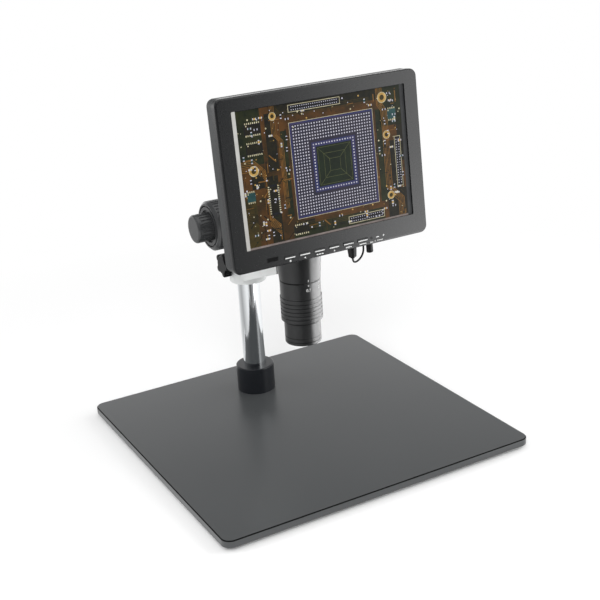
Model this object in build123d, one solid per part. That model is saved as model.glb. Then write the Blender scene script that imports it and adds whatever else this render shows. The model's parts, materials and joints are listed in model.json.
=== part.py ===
from build123d import *
import os
from math import acos, cos, pi, radians, sin, tan

# Frame: origin under the middle of the base plate, at the underside of the feet.
# X runs to the right, Y to the back and Z up. All lengths are in millimetres.

# ---- Clearances ----
FIT = 0.05            # radial play of a screw, spigot or running shaft in its bore
SLIDE_PLAY = 0.1      # play of a flat sliding face
GUIDE_GAP = 0.4       # gap between the focus block's face and the carriage
GAP = 0.3             # plain gap between neighbours that move past each other
KEY_PLAY = 0.2        # gap around a key in its window

# ---- Fasteners ----
M3_RADIUS = 1.5
M3_HEAD_RADIUS = 2.75
M3_HEAD = 1.5
M3_LENGTH = 8.0
M4_RADIUS = 2.0
M4_HEAD_RADIUS = 3.5
M4_HEAD = 2.4
M8_RADIUS = 4.0
M8_HEAD_RADIUS = 6.5
M8_HEAD = 4.4
HEAD_PLAY = 0.5       # radial room around a sunk screw head
HEX = 0.5             # hexagon socket's radius as a share of the head's, and 0.6 of its height deep
HEX_DEEP = 0.6

# ---- Edges ----
HOLE_END = 1.0        # hole left past a screw's tip
BREAK = 0.8           # usual chamfer or round of a turned or moulded edge
CUT = 1.0             # how far a cutter stands clear of the faces it goes through

# ---- Stand ----
PLATE_WIDTH = 332.0
PLATE_DEPTH = 328.0
PLATE_THICK = 8.0
PLATE_CORNER = 9.5
FOOT_HEIGHT = 3.0
FOOT_RADIUS = 9.0
FOOT_WEB = 1.0        # rubber left above the foot screw's head
FOOT_INSET = 22.0     # foot axis in from the plate's edges
FOOT_SCREW = 6.0      # shank length
COLUMN_INSET = 64.0   # column axis in from the plate's back edge
COLUMN_RADIUS = 12.0
COLUMN_WALL = 2.5
COLUMN_HEIGHT = 280.0
COLLAR_RADIUS = 20.5
COLLAR_HEIGHT = 29.0
COLLAR_ROUND = 1.2
GRUB_RADIUS = 2.5
GRUB_SINK = 0.6
GRUB_ANGLE = 40.0     # each grub screw's turn from the back of the collar
PLUG_LENGTH = 25.0
BOLT_GRIP = 20.0      # thread length in the column's plug
BOLT_FLOOR = 3.0      # plate left above the anchor bolt's head
CAP_THICK = 2.5
CAP_SPIGOT = 10.0

# ---- Arm ----
HUB_RISE = 127.0      # hub's lower face above the plate
HUB_RADIUS = 19.6
HUB_HEIGHT = 60.0
BUSH_WALL = 2.0
BUSH_LENGTH = 16.0
BUSH_FLANGE = 1.5
BUSH_FLANGE_WIDE = 2.5
REACH = 117.0         # from the column's axis to the lens axis
ARM_HALF = 14.0       # half the arm's width
ARM_DEEP = 6.0        # arm's lower edge above the hub's lower face
ARM_SLOPE = 21.0      # rise of the arm's underside, degrees
BLOCK_HALF = 24.0
BLOCK_HIGH = 114.0    # focus block's upper face above the hub's lower face
BLOCK_BACK = 24.0     # focus block's back face in front of the column's axis
BLOCK_FRONT = 59.0    # focus block's front face in front of the column's axis
CAST_ROUND = 2.5
CLAMP_RISE = 21.5     # clamp screw's axis above the hub's lower face
CLAMP_BOSS_RADIUS = 9.0
CLAMP_BOSS_OUT = 1.0  # boss proud of the hub
CLAMP_KNOB_CORE = 10.0
CLAMP_LOBE_RADIUS = 3.8
CLAMP_KNOB_RADIUS = 13.4
CLAMP_KNOB_LENGTH = 8.6
CLAMP_KNOB_ROUND = 1.4
CLAMP_LOBES = 5
CLAMP_NECK = 0.8      # from the boss to the knob
STUD_IN_KNOB = 6.0

# ---- Focus drive ----
PINION_FORWARD = 44.0  # pinion's axis in front of the column's axis
PINION_RISE = 81.0     # pinion's axis above the hub's lower face
MODULE = 0.8
PINION_TEETH = 18
PRESSURE_ANGLE = radians(20)
BACKLASH = 0.12
DEDENDUM = 1.25       # root's depth below the pitch line, in modules
FLANK_STEP = 0.4      # flank point's distance from the pitch radius, in modules
GEAR_HALF = 5.0
GEAR_ROOM = 0.8
PINION_SHAFT_RADIUS = 4.5
FINE_SHAFT_RADIUS = 2.5
PINION_BUSH_RADIUS = 7.0
PINION_BUSH_FLANGE = 9.5
PINION_FLANGE_THICK = 1.5
COARSE_IN = 44.0      # knob's inner face from the middle
COARSE_OUT = 60.0
COARSE_RADIUS = 24.9
COARSE_NECK = 11.0    # radius of the neck that reaches in to the focus block
COARSE_FLUTES = 40
COARSE_CHAMFER = 2.5
FINE_OUT = 76.0
FINE_RADIUS = 14.2
FINE_FLUTES = 24
FINE_ROUND = 2.5
FLUTE_RADIUS = 0.9
DISH = 2.0            # depth of the rings in the coarse knob's face
DISH_MARGIN = 2.2     # dish beyond the fine knob
COARSE_RIM = 4.0      # from the coarse knob's rim to its ring groove
COARSE_GROOVE = 1.4
COARSE_HOLLOW = 7.0   # depth of the coarse knob's hollow back
FLUTE_START = 2.5     # knob's face left plain before and after its flutes
FINE_WALL = 2.0       # fine knob's face over the end of its shaft
TRAVEL = 20.0         # focus travel each way
RUN_OUT = 3.0         # rack beyond the pinion's axis at the end of the travel
STOP_PLAY = 0.4       # left between the tongue and its blind lower end at full travel
RACK_HALF = 5.0
RACK_BACKING = 4.4    # rack's thickness under its teeth
RACK_WEB = 5.0        # carriage left between the rack and its screws' heads
TONGUE_HALF = 14.0    # half the dovetail's width at its neck
TONGUE_DEEP = 6.8
TONGUE_FLARE = 4.0
CARRIAGE_HALF = 22.0
CARRIAGE_SCREW = 14.0    # depth of the carriage's screw holes
CARRIAGE_SCREW_X = 13.0
CARRIAGE_SCREW_DOWN = 5.2   # lower and upper screws from the pinion's level
CARRIAGE_SCREW_UP = 13.0
RACK_SCREW_INSET = 9.0

# ---- Camera head ----
HOUSING_HALF_WIDTH = 27.0
HOUSING_HALF_DEPTH = 29.0
HOUSING_RISE = 194.0  # housing's lower face above the plate
HOUSING_HEIGHT = 60.0
HOUSING_WALL = 3.0
HOUSING_CORNER = 6.0
LID_THICK = 3.0
LID_POST = 3.6
LID_POST_INSET = 5.5
BOARD_HALF = 19.5
BOARD_POST_INSET = 3.0
BOARD_THICK = 1.6
BOARD_POST_RISE = 5.0
BOARD_POST_RADIUS = 2.5
SENSOR_HALF = 6.0
SENSOR_THICK = 2.0
SENSOR_RIM = 2.0
SENSOR_SINK = 0.3
CHIP_HALF = 8.0
CHIP_THICK = 1.6
HEADER_HALF = 7.0     # header behind the chip on the camera's board
HEADER_NEAR = 12.0
HEADER_DEEP = 5.0
HEADER_HEIGHT = 4.0
LUG_FRONT = 22.0      # carriage lug's front behind the lens axis

# ---- Lens ----
TUBE_RISE = 96.3      # lens's lower rim above the plate
FRONT_RING = 3.0
SEAM = 0.3
LOWER_RADIUS = 18.0
LOWER_HEIGHT = 19.0
RING_HEIGHT = 42.4
RING_RADIUS = 20.0
GRIP_RADIUS = 20.6
GRIP_LOW = 1.6        # grip's lower edge above the ring's lower face
GRIP_HEIGHT = 24.0
GRIP_RIBS = 6
GRIP_GROOVE = 1.2
GRIP_BED = 1.4        # depth of the grip's seat in the ring
NECK_RADIUS = 20.2    # upper barrel at its lower end
SHOULDER_RADIUS = 22.4
CORE_RADIUS = 15.4
CORE_WALL = 1.8
CORE_THREAD = 8.0
MOUTH_RADIUS = 17.0
CELL_WALL = 3.0
CELL_TRAVEL = 8.0
CELL_ROOM = 4.2       # of the zoom ring's height left past the cell at each end of its travel
CELL_LIP = 2.0        # height of the lip that carries the cell's glass
CELL_LIP_IN = 1.5
GLASS_THICK = 4.0
RIM_RADIUS = 14.0
RIM_WALL = 0.9        # of the ring that holds the front glass
RIM_FLARE = 2.0       # height of the front ring's inner flare
FRONT_BULGE = 2.0     # of the front glass
CELL_BULGE = 1.5      # of the moving glass
RIB_DEEP = 0.7        # depth of the grooves between the grip's ribs
RING_CHAMFER = 1.2

# ---- Monitor: depths run back from its face, heights run up it ----
TILT = 5.0
SCREEN_WIDTH = 174.5
SCREEN_HEIGHT = 121.5
SCREEN_LOW = 19.3
SCREEN_CORNER = 1.0
FRAME_SIDE = 14.25    # bezel beside the opening
FRAME_TOP = 12.2      # bezel above the opening
MON_WIDTH = SCREEN_WIDTH + 2 * FRAME_SIDE
MON_HEIGHT = SCREEN_LOW + SCREEN_HEIGHT + FRAME_TOP
MON_DEPTH = 20.0
MON_CORNER = 7.0
MON_WALL = 2.0
FACE_THICK = 2.4
FACE_ROUND = 1.8
SPLIT = 7.0           # depth of the joint between bezel and rear cover
COVER_INSET = 0.4
COVER_BACK = 2.2
COVER_ROUND = 3.0
LCD_LAP = 2.75        # panel behind the bezel, on each side
LCD_THICK = 4.4
SCREW_POST = 3.5
POST_INSET = 6.5
POST_RISE = 8.0
VENT_LENGTH = 44.0
VENT_WIDE = 2.2
VENT_PITCH = 6.0
VENTS = 6
VENT_LOW = 108.0
KEYS = 6
KEY_PITCH = 15.2
KEY_FIRST = -46.2
KEY_RISE = 6.1
KEY_WIDTH = 10.8
KEY_HEIGHT = 2.6
KEY_PROUD = 0.4
KEY_FLANGE = 0.8
KEY_FLANGE_WIDE = 0.9
KEY_STEM = 4.4
KEY_BOARD_DEPTH = 5.0
KEY_BOARD_THICK = 1.2
KEY_BOARD_MARGIN = 4.4  # key board beyond the first key
LAMP_MARGIN = 5.8     # key board beyond the lamp's middle
KEY_BOARD_HALF = 3.2
KEY_POST_RADIUS = 1.2
KEY_POST_INSET = 2.0
EYE_FLANGE = 0.8      # window's flange beyond its opening, and its thickness
EYE_FLANGE_THICK = 1.0
EYE_GAP = 6.4         # between the window and the first key
EYE_RISE = 7.4
EYE_WIDTH = 11.0
EYE_HEIGHT = 3.6
LAMP_GAP = 4.0        # lamp's middle beyond the last key
LAMP_RADIUS = 1.25
MAIN_HALF = 60.0
MAIN_LOW = 78.0
MAIN_HEIGHT = 60.0
PROCESSOR_HALF = 13.0
MEMORY_HALF = 6.0
CAPACITOR_RADIUS = 4.0
CAPACITOR_LENGTH = 5.0
CAPACITOR_X = 42.0
CAPACITOR_RISE = 48.0
STANDOFF = 1.6
STANDOFF_INSET = 4.0
VENT_STEP = 0.6       # middle of each vent column as a share of a vent's length
PIVOT_UP = 47.7       # hinge axis up the monitor's back
PIVOT_OUT = 8.5       # hinge axis behind the rear cover
PIVOT_GAP = 10.0      # hinge axis in front of the camera housing
PIVOT_DROP = 3.0      # hinge axis below the housing's rim
HINGE_RADIUS = 5.5
HINGE_PIN_RADIUS = 2.5
FORK_HALF = 24.0
EAR_THICK = 5.8
FORK_PLATE = 3.0
FORK_PLATE_HEIGHT = 27.0
LEAF_HALF = 32.0
LEAF_HALF_HEIGHT = 16.0
LEAF_THICK = 2.0
LEAF_CORNER = 3.0
LEAF_SCREW_INSET = 6.0
LEAF_SCREW_DROP = 5.0
LEAF_POST = 5.0       # length of the posts behind the leaf's screws
WEB_HALF = 3.5        # half the height of the web from the leaf to the knuckle
FORK_SCREW_X = 10.0
FORK_SCREW_DROPS = (10.5, 19.0)   # below the pivot

# ---- Connectors under the monitor ----
JACK_X = 24.8
JACK_DEPTH = 12.4
JACK_HALF = 5.0       # half the width of the socket's body
SPARE_X = 43.4
SPARE_DEPTH = 11.6
SPARE_HALF = 2.3
JACK_PIN = 1.25
SOCKET_HEIGHT = 9.0
SOCKET_DEEP = 8.4
PIN_IN = 7.0
PLUG_RADIUS = 4.6
PLUG_WAIST = 3.7      # plug's radius where its tapered end begins
PLUG_BODY = 11.4
PLUG_NECK = 1.4
SPARE_RADIUS = 3.2
SPARE_LENGTH = 10.8
SPARE_ROUND = 1.2
GROMMET_X = 38.9
GROMMET_DEPTH = 14.9
GROMMET_RADIUS = 2.0
GROMMET_NECK = 1.5
GROMMET_BOOT = 1.6    # proud of the cover
GROMMET_FLANGE = 1.2
LEAD_RADIUS = 0.9
BEND_SHARE = 0.45     # of the shorter run at a bend that its arc takes
BOOT_WALL = 0.5       # of a boot at its thin end

# ---- Levels and stations that follow ----
TOP = FOOT_HEIGHT + PLATE_THICK
COLUMN_Y = PLATE_DEPTH / 2 - COLUMN_INSET
COLUMN_TOP = TOP + COLUMN_HEIGHT
COLUMN_BORE = COLUMN_RADIUS - COLUMN_WALL
HUB_LOW = TOP + HUB_RISE
HUB_HIGH = HUB_LOW + HUB_HEIGHT
BUSH_RADIUS = COLUMN_RADIUS + BUSH_WALL
CLAMP_Z = HUB_LOW + CLAMP_RISE
BOSS_FACE = HUB_RADIUS + CLAMP_BOSS_OUT
TONGUE_HALF_LENGTH = TRAVEL + RUN_OUT
GUIDE_Y = COLUMN_Y - BLOCK_FRONT
PINION_Y = COLUMN_Y - PINION_FORWARD
PINION_Z = HUB_LOW + PINION_RISE
# The dovetail's blind lower end stops the carriage.
BLOCK_Z0 = PINION_Z - TONGUE_HALF_LENGTH - TRAVEL - STOP_PLAY
BLOCK_Z1 = HUB_LOW + BLOCK_HIGH
PITCH_RADIUS = MODULE * PINION_TEETH / 2
TOOTH_PITCH = pi * MODULE
RACK_LINE = PINION_Y - PITCH_RADIUS
RACK_ROOT = RACK_LINE - DEDENDUM * MODULE
CARRIAGE_BACK = GUIDE_Y - GUIDE_GAP
TONGUE_BACK = CARRIAGE_BACK + TONGUE_DEEP
LENS_Y = COLUMN_Y - REACH
HOUSING_Z = TOP + HOUSING_RISE
HOUSING_RIM = HOUSING_Z + HOUSING_HEIGHT
HOUSING_FRONT = LENS_Y - HOUSING_HALF_DEPTH
HOUSING_REAR = LENS_Y + HOUSING_HALF_DEPTH
TUBE_LOW = TOP + TUBE_RISE
LOWER_Z0 = TUBE_LOW + FRONT_RING + SEAM
LOWER_Z1 = LOWER_Z0 + LOWER_HEIGHT
RING_Z0 = LOWER_Z1 + SEAM
RING_Z1 = RING_Z0 + RING_HEIGHT
UPPER_Z0 = RING_Z1 + SEAM
CORE_BORE = CORE_RADIUS - CORE_WALL
CELL_MIDDLE = (RING_Z0 + RING_Z1) / 2
CELL_LENGTH = RING_HEIGHT - 2 * (CELL_TRAVEL + CELL_ROOM)
PIVOT_Y = HOUSING_FRONT - PIVOT_GAP
PIVOT_Z = HOUSING_RIM - PIVOT_DROP
LEAN_SIN, LEAN_COS = sin(radians(TILT)), cos(radians(TILT))
PIVOT_DEPTH = MON_DEPTH + PIVOT_OUT
MON_Y = PIVOT_Y - PIVOT_UP * LEAN_SIN - PIVOT_DEPTH * LEAN_COS
MON_Z = PIVOT_Z - PIVOT_UP * LEAN_COS + PIVOT_DEPTH * LEAN_SIN
MONITOR = Pos(0, MON_Y, MON_Z) * Rot(-TILT, 0, 0)
COVER_FLOOR = MON_DEPTH - COVER_BACK
SILL = COVER_INSET + MON_WALL
KEY_STATIONS = [KEY_FIRST + KEY_PITCH * i for i in range(KEYS)]
EYE_X = KEY_STATIONS[0] - KEY_WIDTH / 2 - EYE_GAP - EYE_WIDTH / 2
LAMP_X = KEY_STATIONS[-1] + KEY_WIDTH / 2 + LAMP_GAP
KEY_BOARD_LEFT = KEY_STATIONS[0] - KEY_WIDTH / 2 - KEY_BOARD_MARGIN
KEY_BOARD_RIGHT = LAMP_X + LAMP_MARGIN
POST_PLACES = [(sx * (MON_WIDTH / 2 - POST_INSET), z)
               for sx in (-1, 1) for z in (POST_RISE, MON_HEIGHT - POST_RISE)]
LEAF_PLACES = [(sx * (LEAF_HALF - LEAF_SCREW_INSET), PIVOT_UP + sz * (LEAF_HALF_HEIGHT - LEAF_SCREW_DROP))
               for sx in (-1, 1) for sz in (-1, 1)]
BOARD_PLACES = [(sx * (BOARD_HALF - BOARD_POST_INSET), LENS_Y + sy * (BOARD_HALF - BOARD_POST_INSET))
                for sx in (-1, 1) for sy in (-1, 1)]
LID_POST_X = HOUSING_HALF_WIDTH - LID_POST_INSET
LID_POST_Y = HOUSING_HALF_DEPTH - LID_POST_INSET
LID_PLACES = [(sx * LID_POST_X, LENS_Y + sy * LID_POST_Y) for sx in (-1, 1) for sy in (-1, 1)]
CARRIAGE_SCREWS = [(sx * CARRIAGE_SCREW_X, PINION_Z + dz)
                   for sx in (-1, 1) for dz in (-CARRIAGE_SCREW_DOWN, CARRIAGE_SCREW_UP)]
FORK_SCREWS = [(sx * FORK_SCREW_X, PIVOT_Z - drop) for sx in (-1, 1) for drop in FORK_SCREW_DROPS]

LEAD_IN = 2.6         # height of the lead's end inside the grommet
# Lead route in the monitor's own directions: (across, depth, height) from its lower front edge.
LEAD_ROUTE = [
    (GROMMET_X, GROMMET_DEPTH, LEAD_IN), (GROMMET_X, GROMMET_DEPTH, -3.4), (38.3, 14.8, -9.4),
    (35.5, 14.3, -13.5), (31.4, 13.7, -16.2), (27.6, 13.0, -16.9), (JACK_X, JACK_DEPTH, -15.5),
    (JACK_X, JACK_DEPTH, COVER_INSET - PLUG_BODY - PLUG_NECK),
]


# ---- Shape helpers ----
def rod(radius, z0, z1, x=0.0, y=0.0):
    """Upright cylinder between two heights."""
    return Pos(x, y, (z0 + z1) / 2) * Cylinder(radius, abs(z1 - z0))


def pipe(outer, inner, z0, z1, x=0.0, y=0.0):
    """Upright tube between two heights."""
    return rod(outer, z0, z1, x, y) - rod(inner, z0 - CUT, z1 + CUT, x, y)


def cone(low, high, z0, z1, x=0.0, y=0.0):
    """Upright cone with its lower and upper radii."""
    return Pos(x, y, (z0 + z1) / 2) * Cone(low, high, z1 - z0)


def bar(radius, x0, x1, y, z):
    """Cylinder along X."""
    return Pos((x0 + x1) / 2, y, z) * Rot(0, 90, 0) * Cylinder(radius, abs(x1 - x0))


def peg(radius, y0, y1, x, z):
    """Cylinder along Y."""
    return Pos(x, (y0 + y1) / 2, z) * Rot(90, 0, 0) * Cylinder(radius, abs(y1 - y0))


def block(x0, x1, y0, y1, z0, z1):
    """Box between two corners."""
    return Pos((x0 + x1) / 2, (y0 + y1) / 2, (z0 + z1) / 2) * Box(x1 - x0, y1 - y0, z1 - z0)


def group(solids):
    """Several loose solids as one node."""
    return Compound([s for item in solids for s in item.solids()])


def screw(radius, length, head_radius, head):
    """Socket screw along +Z: its head stands on the plane z = 0 and its shank points down."""
    body = rod(radius, -length, 0) + rod(head_radius, 0, head)
    return body - extrude(Pos(0, 0, head) * RegularPolygon(head_radius * HEX, 6), -head * HEX_DEEP)


def m3(length):
    return screw(M3_RADIUS, length, M3_HEAD_RADIUS, M3_HEAD)


def face_down(shape):
    """Turns a shape made along +Z to point along -Z."""
    return Rot(180, 0, 0) * shape


# ---- Stand ----
def foot_places():
    across, along = PLATE_WIDTH / 2 - FOOT_INSET, PLATE_DEPTH / 2 - FOOT_INSET
    return [(sx * across, sy * along) for sx in (-1, 1) for sy in (-1, 1)]


def base_plate():
    plate = block(-PLATE_WIDTH / 2, PLATE_WIDTH / 2, -PLATE_DEPTH / 2, PLATE_DEPTH / 2, FOOT_HEIGHT, TOP)
    plate = fillet(plate.edges().filter_by(Axis.Z), PLATE_CORNER)
    plate = chamfer(plate.faces().sort_by(Axis.Z)[-1].edges(), BREAK)
    plate = chamfer(plate.faces().sort_by(Axis.Z)[0].edges(), BREAK)
    for x, y in foot_places():
        plate -= rod(M3_RADIUS + FIT, FOOT_HEIGHT - CUT, FOOT_HEIGHT + FOOT_SCREW - FOOT_WEB + GAP, x, y)
    seat = TOP - BOLT_FLOOR
    plate -= rod(M8_HEAD_RADIUS + HEAD_PLAY, FOOT_HEIGHT - CUT, seat, 0, COLUMN_Y)
    return plate - rod(M8_RADIUS + FIT, seat - CUT, TOP + CUT, 0, COLUMN_Y)


def rubber_feet():
    foot = chamfer(rod(FOOT_RADIUS, 0, FOOT_HEIGHT).faces().sort_by(Axis.Z)[0].edges(), BREAK)
    foot -= rod(M3_HEAD_RADIUS + HEAD_PLAY, -CUT, FOOT_HEIGHT - FOOT_WEB)
    foot -= rod(M3_RADIUS + FIT, 0, FOOT_HEIGHT + CUT)
    return group([Pos(x, y, 0) * foot for x, y in foot_places()])


def foot_screws():
    one = face_down(m3(FOOT_SCREW))
    return group([Pos(x, y, FOOT_HEIGHT - FOOT_WEB) * one for x, y in foot_places()])


def collar_turns():
    return [Pos(0, COLUMN_Y, 0) * Rot(0, 0, turn) for turn in (90 - GRUB_ANGLE, 90 + GRUB_ANGLE)]


def column_collar():
    collar = rod(COLLAR_RADIUS, TOP, TOP + COLLAR_HEIGHT)
    collar = fillet(collar.faces().sort_by(Axis.Z)[-1].edges(), COLLAR_ROUND)
    collar = Pos(0, COLUMN_Y, 0) * (collar - rod(COLUMN_RADIUS + FIT, TOP - CUT, TOP + COLLAR_HEIGHT + CUT))
    for turn in collar_turns():
        collar -= turn * bar(GRUB_RADIUS + FIT, 0, COLLAR_RADIUS + CUT, 0, TOP + COLLAR_HEIGHT / 2)
    return collar


def collar_screws():
    level = TOP + COLLAR_HEIGHT / 2
    inner, outer = COLUMN_RADIUS + FIT, COLLAR_RADIUS - GRUB_SINK
    grub = bar(GRUB_RADIUS, inner, outer, 0, level)
    key = extrude(RegularPolygon(GRUB_RADIUS * HEX, 6), -GRUB_RADIUS)
    grub -= Pos(outer, 0, level) * Rot(0, 90, 0) * key
    return group([turn * grub for turn in collar_turns()])


def column_tube():
    return pipe(COLUMN_RADIUS, COLUMN_BORE, TOP, COLUMN_TOP, 0, COLUMN_Y)


def column_plug():
    return pipe(COLUMN_BORE - FIT, M8_RADIUS + FIT, TOP, TOP + PLUG_LENGTH, 0, COLUMN_Y)


def anchor_bolt():
    bolt = face_down(screw(M8_RADIUS, BOLT_FLOOR + BOLT_GRIP, M8_HEAD_RADIUS, M8_HEAD))
    return Pos(0, COLUMN_Y, TOP - BOLT_FLOOR) * bolt


def column_cap():
    cap = rod(COLUMN_RADIUS, COLUMN_TOP, COLUMN_TOP + CAP_THICK)
    cap = fillet(cap.faces().sort_by(Axis.Z)[-1].edges(), BREAK)
    return Pos(0, COLUMN_Y, 0) * (cap + rod(COLUMN_BORE - FIT, COLUMN_TOP - CAP_SPIGOT, COLUMN_TOP))


# ---- Arm ----
def arm_under(y):
    """Height of the sloping underside of the arm at a station Y."""
    start = COLUMN_Y - HUB_RADIUS
    return HUB_LOW + ARM_DEEP + max(0.0, start - y) * tan(radians(ARM_SLOPE))


def side_profile(points, half):
    """Plate with a side outline given as (y, z) points, centred on x = 0."""
    outline = make_face(Polyline(*points, close=True))
    return extrude(Plane.YZ * outline, half, both=True)


def dovetail(y0, y1, play, z0, z1):
    """Dovetail bar that widens from its neck at CARRIAGE_BACK towards +Y."""
    def half(y):
        return TONGUE_HALF + play + TONGUE_FLARE * (y - CARRIAGE_BACK) / TONGUE_DEEP
    outline = Polyline((-half(y0), y0), (half(y0), y0), (half(y1), y1), (-half(y1), y1), close=True)
    return Pos(0, 0, z0) * extrude(make_face(outline), z1 - z0)


def hub_bushes():
    bush = pipe(BUSH_RADIUS, COLUMN_RADIUS + FIT, 0, BUSH_LENGTH)
    bush += pipe(BUSH_RADIUS + BUSH_FLANGE_WIDE, COLUMN_RADIUS + FIT, 0, BUSH_FLANGE)
    upper = Pos(0, COLUMN_Y, HUB_HIGH) * face_down(bush)
    return group([Pos(0, COLUMN_Y, HUB_LOW) * bush, upper])


def arm_casting():
    hub = rod(HUB_RADIUS, HUB_LOW, HUB_HIGH, 0, COLUMN_Y)
    front = COLUMN_Y - HUB_RADIUS
    arm = side_profile([(COLUMN_Y, arm_under(COLUMN_Y)), (front, arm_under(front)),
                        (GUIDE_Y, arm_under(GUIDE_Y)), (GUIDE_Y, HUB_HIGH), (COLUMN_Y, HUB_HIGH)], ARM_HALF)
    body = block(-BLOCK_HALF, BLOCK_HALF, GUIDE_Y, COLUMN_Y - BLOCK_BACK, BLOCK_Z0, BLOCK_Z1)
    body = fillet(body.edges().filter_by(Axis.Z) + body.faces().sort_by(Axis.Z)[0].edges(), CAST_ROUND)
    boss = bar(CLAMP_BOSS_RADIUS, -BOSS_FACE, -BUSH_RADIUS - CUT, COLUMN_Y, CLAMP_Z)
    cast = hub + arm + body + boss
    cast -= rod(BUSH_RADIUS + FIT, HUB_LOW - CUT, HUB_HIGH + CUT, 0, COLUMN_Y)
    recess = BUSH_RADIUS + BUSH_FLANGE_WIDE + FIT
    cast -= rod(recess, HUB_LOW - CUT, HUB_LOW + BUSH_FLANGE + FIT, 0, COLUMN_Y)
    cast -= rod(recess, HUB_HIGH - BUSH_FLANGE - FIT, HUB_HIGH + CUT, 0, COLUMN_Y)
    cast -= bar(M8_RADIUS + FIT, -BOSS_FACE - CUT, -COLUMN_RADIUS, COLUMN_Y, CLAMP_Z)
    cast -= dovetail(GUIDE_Y - CUT, TONGUE_BACK + SLIDE_PLAY, SLIDE_PLAY, BLOCK_Z0, BLOCK_Z1 + CUT)
    rack_tip = RACK_LINE + MODULE
    cast -= block(-RACK_HALF - GAP, RACK_HALF + GAP, GUIDE_Y, rack_tip + GEAR_ROOM, BLOCK_Z0, BLOCK_Z1 + CUT)
    cast -= bar(PINION_BUSH_RADIUS + FIT, -BLOCK_HALF - CUT, BLOCK_HALF + CUT, PINION_Y, PINION_Z)
    room = PITCH_RADIUS + MODULE + GEAR_ROOM
    reach = GEAR_HALF + 2 * GEAR_ROOM
    cast -= bar(room, -reach, reach, PINION_Y, PINION_Z)
    return cast - block(-reach, reach, GUIDE_Y, PINION_Y, PINION_Z - room, PINION_Z + room)


def clamp_knob():
    """Star knob along +Z, then turned to point out to the left."""
    star = Circle(CLAMP_KNOB_CORE)
    # A gap between two lobes faces the back.
    first = 90 - 180 / CLAMP_LOBES
    for turn in PolarLocations(CLAMP_KNOB_RADIUS - CLAMP_LOBE_RADIUS, CLAMP_LOBES, first):
        star += turn * Circle(CLAMP_LOBE_RADIUS)
    knob = extrude(star, CLAMP_KNOB_LENGTH)
    knob = fillet(knob.faces().sort_by(Axis.Z)[-1].edges(), CLAMP_KNOB_ROUND)
    knob -= rod(M8_RADIUS + FIT, -CUT, STUD_IN_KNOB)
    return Pos(-BOSS_FACE - CLAMP_NECK, COLUMN_Y, CLAMP_Z) * Rot(0, -90, 0) * knob


def clamp_stud():
    tip = COLUMN_RADIUS + GAP
    stud = bar(M8_RADIUS, -BOSS_FACE - CLAMP_NECK - STUD_IN_KNOB, -tip, COLUMN_Y, CLAMP_Z)
    return chamfer(stud.faces().sort_by(Axis.X)[-1].edges(), BREAK)


# ---- Focus drive ----
def both_sides(shape):
    """A shape made along +Z from the middle, set on the pinion's axis to the right and left."""
    middle = Pos(0, PINION_Y, PINION_Z)
    return group([middle * Rot(0, 90 * side, 0) * shape for side in (1, -1)])


def fluted(radius, flutes, z0, z1):
    """Small cutters spread round a knob's rim."""
    return [turn * rod(FLUTE_RADIUS, z0, z1) for turn in PolarLocations(radius, flutes)]


def pinion_bushes():
    bush = rod(PINION_BUSH_RADIUS, GEAR_HALF + 2 * GEAR_ROOM, BLOCK_HALF)
    bush += rod(PINION_BUSH_FLANGE, BLOCK_HALF, BLOCK_HALF + PINION_FLANGE_THICK)
    return both_sides(bush - rod(PINION_SHAFT_RADIUS + FIT, 0, BLOCK_HALF * 2))


def coarse_knobs():
    knob = rod(COARSE_RADIUS, COARSE_IN, COARSE_OUT)
    knob = chamfer(knob.faces().sort_by(Axis.Z)[-1].edges(), COARSE_CHAMFER)
    knob = chamfer(knob.faces().sort_by(Axis.Z)[0].edges(), BREAK)
    knob -= fluted(COARSE_RADIUS, COARSE_FLUTES, COARSE_IN + FLUTE_START, COARSE_OUT - COARSE_CHAMFER - CUT)
    groove = COARSE_RADIUS - COARSE_RIM
    knob -= pipe(groove, groove - COARSE_GROOVE, COARSE_OUT - DISH, COARSE_OUT + CUT)
    knob -= rod(FINE_RADIUS + DISH_MARGIN, COARSE_OUT - DISH, COARSE_OUT + CUT)
    knob -= rod(groove, COARSE_IN - CUT, COARSE_IN + COARSE_HOLLOW)
    knob += rod(COARSE_NECK, BLOCK_HALF + PINION_FLANGE_THICK + GAP, COARSE_IN + COARSE_HOLLOW + CUT)
    return both_sides(knob - rod(PINION_SHAFT_RADIUS + FIT, 0, COARSE_OUT + CUT))


def pinion_shaft():
    end = COARSE_OUT - DISH
    shaft = bar(PINION_SHAFT_RADIUS, -end, end, PINION_Y, PINION_Z)
    return shaft - bar(FINE_SHAFT_RADIUS + 2 * FIT, -end - CUT, end + CUT, PINION_Y, PINION_Z)


def tooth_half_angle(radius):
    """Half the angle that a gear tooth takes at a radius, from the involute."""
    base = PITCH_RADIUS * cos(PRESSURE_ANGLE)

    def involute(angle):
        return tan(angle) - angle
    here = acos(min(1.0, base / max(radius, base)))
    at_pitch = pi / (2 * PINION_TEETH) - BACKLASH / (2 * PITCH_RADIUS)
    return at_pitch + involute(PRESSURE_ANGLE) - involute(here)


def pinion_gear():
    root, tip = PITCH_RADIUS - DEDENDUM * MODULE, PITCH_RADIUS + MODULE
    radii = [root - BACKLASH, root + FLANK_STEP * MODULE, PITCH_RADIUS, tip - FLANK_STEP * MODULE, tip]
    flank = [(r * cos(tooth_half_angle(r)), r * sin(tooth_half_angle(r))) for r in radii]
    mirror = [(x, -y) for x, y in reversed(flank)]
    tooth = make_face(Polyline(*flank, *mirror, close=True))
    wheel = Circle(root)
    for turn in PolarLocations(0, PINION_TEETH):
        wheel += turn * tooth
    wheel -= Circle(PINION_SHAFT_RADIUS + FIT)
    # The sketch's own X axis points to the rack, so that a tooth stands in the rack's middle gap.
    plane = Plane(origin=(0, PINION_Y, PINION_Z), x_dir=(0, -1, 0), z_dir=(1, 0, 0))
    return extrude(plane * wheel, GEAR_HALF, both=True)


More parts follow.
